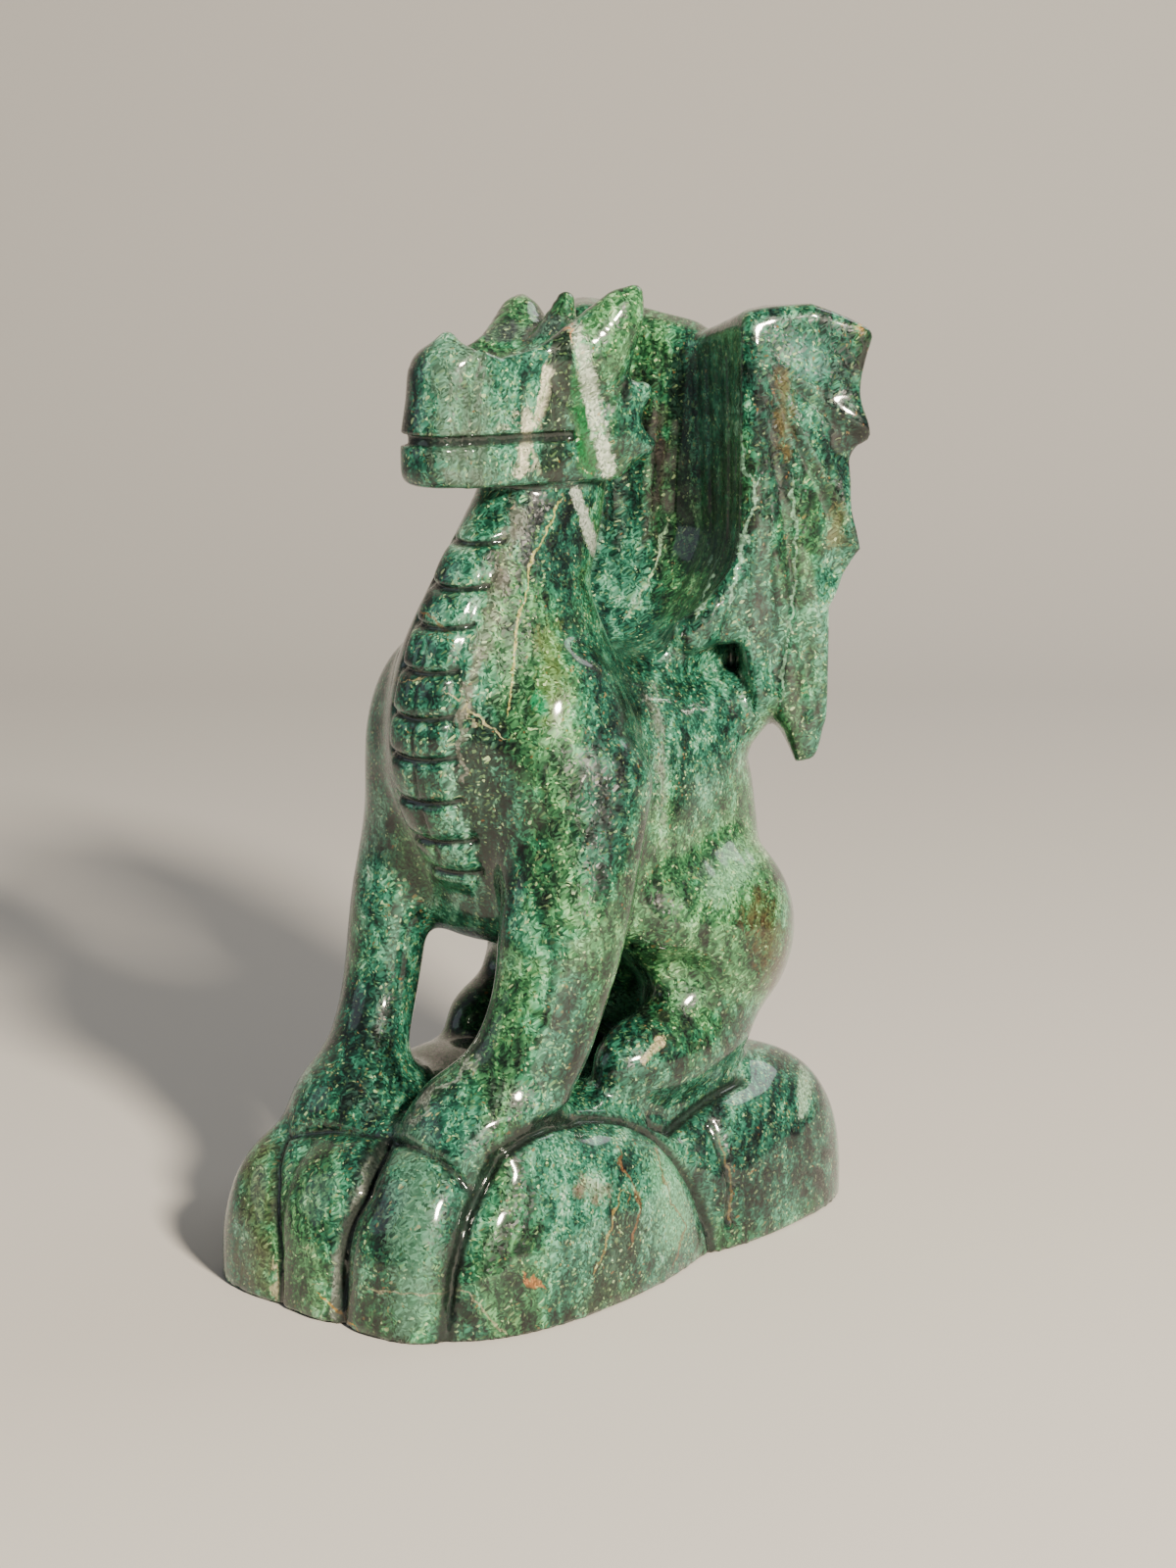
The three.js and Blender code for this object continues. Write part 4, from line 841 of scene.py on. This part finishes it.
def polished_verdite(finish):
    """Verdite, a green mica stone, sawn from a banded block, ground and polished by hand: the
    polish lies over grains and flakes that catch the light one by one, the beds stand upright
    through the block, and what the polishing pads could not reach stays dull and is painted
    dark, partly as polishing slurry and partly as painted shade."""
    material = bpy.data.materials.new("polished_verdite")
    material.use_nodes = True
    tree = material.node_tree
    tree.nodes.clear()

    place = add(tree, "ShaderNodeTexCoord", (), out="Object")
    mm = add(tree, VECTOR, (place, (1 / MM,) * 3), operation="MULTIPLY")
    # The beds stand upright and face a little left of the dragon's own left side
    sheet = add(tree, "ShaderNodeMapping", {"Vector": mm, "Rotation": (0, 0, -BED_TURN)})
    wander = add(tree, NOISE, {"Vector": sheet, "Scale": 1 / WANDER, "Detail": 0.0})
    wander = add(tree, MATH, (wander, 0.5), operation="SUBTRACT")
    quiver = add(tree, NOISE, {"Vector": mm, "Scale": 1 / QUIVER, "Detail": 0.0})
    quiver = add(tree, MATH, (quiver, 0.5), operation="SUBTRACT")
    bedded = sheet
    for amount, reach in ((wander, WANDER_REACH), (quiver, QUIVER_REACH)):
        drift = add(tree, VECTOR, {0: reach, "Scale": amount}, operation="SCALE")
        bedded = add(tree, VECTOR, (drift, bedded), operation="ADD")
    layers = []
    for size, detail in ((BED_SIZE, 2.0), (STREAK_SIZE, 1.0), (TINT_SIZE, 0.0)):
        spread = add(tree, VECTOR, (bedded, tuple(1 / s for s in size)), operation="MULTIPLY")
        layers.append(add(tree, NOISE, {"Vector": spread, "Scale": 1.0, "Detail": detail}))
    beds, streaks, tints = layers
    clumps = add(tree, NOISE, {"Vector": mm, "Scale": 1 / CLUMP_SIZE, "Detail": 2.0})
    # Grains about a millimetre across; the finest mica is smaller than the picture can show,
    # so it is drawn as coarse as this
    drift = add(tree, VECTOR, {0: GRAIN_REACH, "Scale": quiver}, operation="SCALE")
    spread = add(tree, VECTOR, (drift, mm), operation="ADD")
    grains = add(tree, "ShaderNodeTexVoronoi", {"Vector": spread, "Scale": 1 / GRAIN_SIZE}, out="Color")
    grain = add(tree, "ShaderNodeSeparateColor", {"Color": grains}).node.outputs

    tone = finish.tone
    for pattern, contrast in (
        (beds, finish.bed_contrast),
        (streaks, finish.streak_contrast),
        (clumps, finish.clump_contrast),
        (grain[0], finish.grain_contrast),
    ):
        centred = add(tree, MATH, (pattern, 0.5), operation="SUBTRACT")
        tone = add(tree, MATH, (centred, contrast, tone), operation="MULTIPLY_ADD")
    greens = []
    for codes in (EMERALD, SLATE, OLIVE):
        green = add(tree, "ShaderNodeValToRGB", {"Fac": tone})
        elements = green.node.color_ramp.elements
        elements[0].position, elements[1].position = TONES[0], TONES[-1]
        for at in TONES[1:-1]:
            elements.new(at)
        for element, code in zip(elements, codes):
            element.color = linear(code)
        greens.append(green)
    slaty = add(tree, RANGE, (tints, 0.41, 0.56), **SMOOTH)
    colour = add(tree, MIX, {0: slaty, 6: greens[0], 7: greens[1]}, **BLEND)
    warm = add(tree, MATH, (clumps, 0.5, tints), operation="MULTIPLY_ADD")
    warm = add(tree, RANGE, (warm, 0.74, 0.64, 0.0, 0.4), **SMOOTH)
    colour = add(tree, MIX, {0: warm, 6: colour, 7: greens[2]}, **BLEND)

    # Marks: wide beds first, with an edge that the grains break up, then the thin cracks; a few of the wide
    # ones are painted highlights and painted shade, and a few of the thin lines are painted highlights
    ragged = add(tree, MATH, (grain[1], 0.45, clumps), operation="MULTIPLY_ADD")
    ragged = add(tree, MATH, (ragged, 0.72), operation="SUBTRACT")
    wide_mark_and_painted_light = add(tree, STORED, (), attribute_name="wide_mark_and_painted_light_colour").node.outputs
    edge = add(tree, STORED, (), out="Fac", attribute_name="wide_mark_and_painted_light_edge")
    centred = add(tree, MATH, (streaks, 0.5), operation="SUBTRACT")
    edge = add(tree, MATH, (centred, 1.6, edge), operation="MULTIPLY_ADD")
    edge = add(tree, MATH, (ragged, 2.0, edge), operation="MULTIPLY_ADD")
    mask = add(tree, RANGE, (edge, 0.45, -0.45), **SMOOTH)
    mask = add(tree, MATH, (mask, wide_mark_and_painted_light["Alpha"]), operation="MULTIPLY")
    colour = add(tree, MIX, {0: mask, 6: colour, 7: wide_mark_and_painted_light["Color"]}, **BLEND)
    line_mark_and_highlight = add(tree, STORED, (), attribute_name="line_mark_and_highlight_colour").node.outputs
    offset = add(tree, STORED, (), out="Fac", attribute_name="line_mark_and_highlight_offset")
    near = add(tree, STORED, (), out="Fac", attribute_name="line_mark_and_highlight_near")
    centred = add(tree, MATH, (clumps, 0.5), operation="SUBTRACT")
    offset = add(tree, MATH, (centred, 4.0, offset), operation="MULTIPLY_ADD")
    offset = add(tree, MATH, (offset,), operation="ABSOLUTE")
    width = add(tree, MATH, (offset, CRACK_UNIT), operation="DIVIDE")
    width = add(tree, MATH, (width, ragged), operation="ADD")
    mask = add(tree, RANGE, (width, 1.15, 0.5), **SMOOTH)
    beside = add(tree, RANGE, (near, 2.6, 1.6), **SMOOTH)
    mask = add(tree, MATH, (mask, beside), operation="MULTIPLY")
    mask = add(tree, MATH, (mask, line_mark_and_highlight["Alpha"]), operation="MULTIPLY")
    colour = add(tree, MIX, {0: mask, 6: colour, 7: line_mark_and_highlight["Color"]}, **BLEND)

    # Grains over everything: each is a little darker or lighter, then pale and dark flecks, a few
    # white ones, and rust where the grains lie in clumps
    lit = add(tree, RANGE, (tone, 0.36, 0.56, 0.25, 1.0), **SMOOTH)
    clumped = add(tree, RANGE, (clumps, 0.50, 0.58), **SMOOTH)
    shade = add(tree, RANGE, (grain[0], 0.0, 1.0, 0.65, 0.0), **SMOOTH)
    colour = add(tree, MIX, {0: shade, 6: colour, 7: linear("#4f7a64")}, blend_type="MULTIPLY", **BLEND)
    for which, low, high, share, where, code in (
        (1, 0.84, 0.97, 0.28, lit, "#9ccb80"),
        (2, 0.78, 0.9, 0.5, 1.0, "#0b1c13"),
        (1, 0.975, 0.985, 0.42, lit, "#cfe3a8"),
        (2, 0.03, 0.02, 0.35, clumped, "#a5733c"),
    ):
        mask = add(tree, RANGE, (grain[which], low, high, 0.0, share), **SMOOTH)
        mask = add(tree, MATH, (mask, where), operation="MULTIPLY")
        colour = add(tree, MIX, {0: mask, 6: colour, 7: linear(code)}, **BLEND)
    # Grooves and creases are painted dark: partly polishing slurry, partly painted shade in the hollows
    crease = add(tree, "ShaderNodeNewGeometry", (), out="Pointiness")
    crease = add(tree, RANGE, (crease, 0.49, 0.44, 0.0, 0.8), **SMOOTH)
    groove = add(tree, STORED, (), out="Fac", attribute_name="groove")
    groove = add(tree, RANGE, (groove, 0.25, 0.85, 0.0, 0.92), **SMOOTH)
    crease = add(tree, MATH, (crease, groove), operation="MAXIMUM")
    colour = add(tree, MIX, {0: crease, 6: colour, 7: linear("#0b1410")}, **BLEND)

    # Polish: flat on the whole, with a slow hand-ground waver and flakes tilted under the shine
    waver = add(tree, NOISE, {"Vector": mm, "Scale": 1 / WAVER_SIZE, "Detail": 0.0})
    worn = add(tree, "ShaderNodeBump", {"Height": waver, "Distance": WAVER_HEIGHT, "Strength": 0.7})
    tilt = add(tree, VECTOR, (grains, (0.5,) * 3), operation="SUBTRACT")
    tilt = add(tree, VECTOR, (tilt, (FLAKE_TILT,) * 3), operation="MULTIPLY")
    flakes = add(tree, VECTOR, (worn, tilt), operation="ADD")
    flakes = add(tree, VECTOR, (flakes,), operation="NORMALIZE")
    rough = add(tree, MATH, (grain[0], 0.2, 0.3), operation="MULTIPLY_ADD")
    rough = add(tree, MATH, (crease, 0.3, rough), operation="MULTIPLY_ADD")
    shader = add(tree, "ShaderNodeBsdfPrincipled", {
        "Base Color": colour, "Roughness": rough, "IOR": 1.5, "Specular IOR Level": 0.2, "Normal": flakes,
        "Coat Weight": 1.0, "Coat Roughness": 0.08, "Coat IOR": 1.5, "Coat Normal": worn,
    })
    add(tree, "ShaderNodeOutputMaterial", {"Surface": shader})
    return material


class CarvingSizes(bpy.types.PropertyGroup):
    figure_height: FloatProperty(
        name="Figure height", description="Terrace of the mound to the horn tips",
        default=0.206, unit="LENGTH",
    )
    mound_rise: FloatProperty(
        name="Mound rise", description="Underside to the terrace", default=0.050, unit="LENGTH"
    )
    mound_length: FloatProperty(
        name="Mound length", description="Front to back at the foot", default=0.175, unit="LENGTH"
    )
    mound_width: FloatProperty(
        name="Mound width", description="Side to side at the foot", default=0.105, unit="LENGTH"
    )
    wing_thickness: FloatProperty(
        name="Wing thickness", description="Between the trough and the back", default=0.010, unit="LENGTH"
    )
    wing_edge: FloatProperty(
        name="Wing edge", description="Of the sheet at its scallops", default=0.0065, unit="LENGTH"
    )
    crease_depth: FloatProperty(
        name="Crease depth", description="Of the grooves between boulders", default=0.0022, unit="LENGTH"
    )
    plate_groove: FloatProperty(
        name="Plate groove", description="Depth between the belly plates", default=0.0015, unit="LENGTH"
    )
    mouth_groove: FloatProperty(
        name="Mouth groove", description="Depth of the slit between the jaws", default=0.0018, unit="LENGTH"
    )
    finest: FloatProperty(
        name="Finest step", description="Grid step of the surface", default=0.001, precision=4, unit="LENGTH"
    )
    triangles: IntProperty(name="Triangles", description="Most that the carving may have", default=190000)


class StudioLook(bpy.types.PropertyGroup):
    floor_colour: FloatVectorProperty(
        name="Floor", description="Paper under the carving", subtype="COLOR", size=3,
        default=linear("#cdc9c2", alpha=False),
    )
    key_power: FloatProperty(
        name="Key light", description="From the dragon's left side", default=102, unit="POWER"
    )


class StoneFinish(bpy.types.PropertyGroup):
    tone: FloatProperty(name="Tone", description="How light the stone is on the whole", default=0.52)
    bed_contrast: FloatProperty(name="Beds", description="Contrast between the upright beds", default=0.75)
    streak_contrast: FloatProperty(name="Streaks", description="Contrast of the thin streaks", default=0.6)
    clump_contrast: FloatProperty(name="Clumps", description="Contrast of the clumps of grains", default=0.5)
    grain_contrast: FloatProperty(name="Grains", description="Contrast of the single grains", default=0.14)


# Camera where the picture was taken from, and a paper sweep: flat, then curved up behind
CAMERA_PLACE = (0.5075, -0.5852, 0.280)
CAMERA_DOWN = math.radians(11.3)
LENS = 67.5
SENSOR = 36
PAPER_HALF_WIDTH = 3.0
PAPER_FLAT = (-3.0, 0.9)
PAPER_CURVE = 0.8
PAPER_TOP = 3.2
PAPER_GAP = 0.0003
AIM = (0, 0, 0.13)
KEY_LIGHT = ("key", (1.55, -0.56, 1.05), 0.26, "#fff1dc")
SOFT_LIGHTS = (("fill", (-1.1, -1.2, 0.9), 1.3, "#e4eeff", 3), ("back", (0.3, 1.3, 1.4), 0.9, "#ffffff", 8))


class CARVING_OT_dragon(bpy.types.Operator):
    """Carve the dragon and its mound from one block"""

    bl_idname = "carving.dragon"
    bl_label = "Dragon"

    def execute(self, context):
        mesh = carved_mesh(context.scene.carving_sizes)
        mesh.materials.clear()
        mesh.materials.append(polished_verdite(context.scene.stone_finish))
        dragon = bpy.data.objects.new("carved_dragon", mesh)
        context.scene.collection.objects.link(dragon)
        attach(dragon, "root")
        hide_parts(NODE)
        return {"FINISHED"}


class CARVING_OT_studio(bpy.types.Operator):
    """Lay the floor, hang the lights and stand the camera"""

    bl_idname = "carving.studio"
    bl_label = "Studio"

    def execute(self, context):
        look = context.scene.studio_look
        scene = context.scene
        # A sheet of paper that lies flat and then curves up behind the carving
        across = np.array((math.cos(CAMERA_TURN), math.sin(CAMERA_TURN), 0))
        away = np.array((-math.sin(CAMERA_TURN), math.cos(CAMERA_TURN), 0))
        turn = np.linspace(0, np.pi / 2, 24)
        curve = zip(PAPER_FLAT[1] + PAPER_CURVE * np.sin(turn), PAPER_CURVE - PAPER_CURVE * np.cos(turn))
        line = [(PAPER_FLAT[0], 0.0), *curve, (PAPER_FLAT[1] + PAPER_CURVE, PAPER_TOP)]
        sides = (-PAPER_HALF_WIDTH, PAPER_HALF_WIDTH)
        points = [u * across + w * away + (0, 0, z) for w, z in line for u in sides]
        quads = [(2 * i, 2 * i + 1, 2 * i + 3, 2 * i + 2) for i in range(len(line) - 1)]
        mesh = mesh_of("floor", np.array(points), np.array(quads))
        mesh.polygons.foreach_set("use_smooth", np.ones(len(quads), bool))
        paper = bpy.data.materials.new("matt_paper")
        paper.use_nodes = True
        shader = paper.node_tree.nodes["Principled BSDF"]
        shader.inputs["Base Color"].default_value = (*look.floor_colour, 1)
        shader.inputs["Roughness"].default_value = 0.8
        mesh.materials.append(paper)
        floor = bpy.data.objects.new("floor", mesh)
        floor.location.z = -PAPER_GAP
        scene.collection.objects.link(floor)
        world = bpy.data.worlds.new("studio")
        world.use_nodes = True
        sky = world.node_tree.nodes["Background"].inputs
        sky["Color"].default_value = linear("#dfe6ee")
        sky["Strength"].default_value = 0.2
        scene.world = world
        scene.cycles.max_bounces = 2
        scene.cycles.diffuse_bounces = 1
        scene.cycles.glossy_bounces = 2
        for lamp in ((*KEY_LIGHT, look.key_power), *SOFT_LIGHTS):
            self.light(scene, *lamp)
        camera = bpy.data.objects.new("camera", bpy.data.cameras.new("camera"))
        camera.data.lens = LENS
        camera.data.sensor_width = SENSOR
        camera.data.sensor_fit = "AUTO"
        camera.location = CAMERA_PLACE
        camera.rotation_euler = (math.pi / 2 - CAMERA_DOWN, 0, CAMERA_TURN)
        scene.collection.objects.link(camera)
        scene.camera = camera
        return {"FINISHED"}

    def light(self, scene, name, place, size, colour, power):
        lamp = bpy.data.lights.new(name, "AREA")
        lamp.shape = "DISK"
        lamp.size = size
        lamp.energy = power
        lamp.color = linear(colour, alpha=False)
        holder = bpy.data.objects.new(name, lamp)
        holder.location = place
        aim = Vector(AIM) - Vector(place)
        holder.rotation_euler = aim.to_track_quat("-Z", "Y").to_euler()
        scene.collection.objects.link(holder)


class CARVING_PT_panel(bpy.types.Panel):
    bl_label = "Carving"
    bl_space_type = "VIEW_3D"
    bl_region_type = "UI"
    bl_category = "Carving"

    def draw(self, context):
        scene = context.scene
        for settings in (scene.carving_sizes, scene.stone_finish, scene.studio_look):
            for name in settings.__annotations__:
                self.layout.prop(settings, name)
        for operator in OPERATORS:
            self.layout.operator(operator.bl_idname)


OPERATORS = (CARVING_OT_studio, CARVING_OT_dragon)
CLASSES = (CarvingSizes, StoneFinish, StudioLook, *OPERATORS, CARVING_PT_panel)


def register():
    for cls in CLASSES:
        bpy.utils.register_class(cls)
    bpy.types.Scene.carving_sizes = PointerProperty(type=CarvingSizes)
    bpy.types.Scene.stone_finish = PointerProperty(type=StoneFinish)
    bpy.types.Scene.studio_look = PointerProperty(type=StudioLook)


def unregister():
    del bpy.types.Scene.carving_sizes
    del bpy.types.Scene.stone_finish
    del bpy.types.Scene.studio_look
    for cls in reversed(CLASSES):
        bpy.utils.unregister_class(cls)


def main():
    register()
    bpy.ops.carving.studio()
    bpy.ops.carving.dragon()


if __name__ == "__main__":
    main()
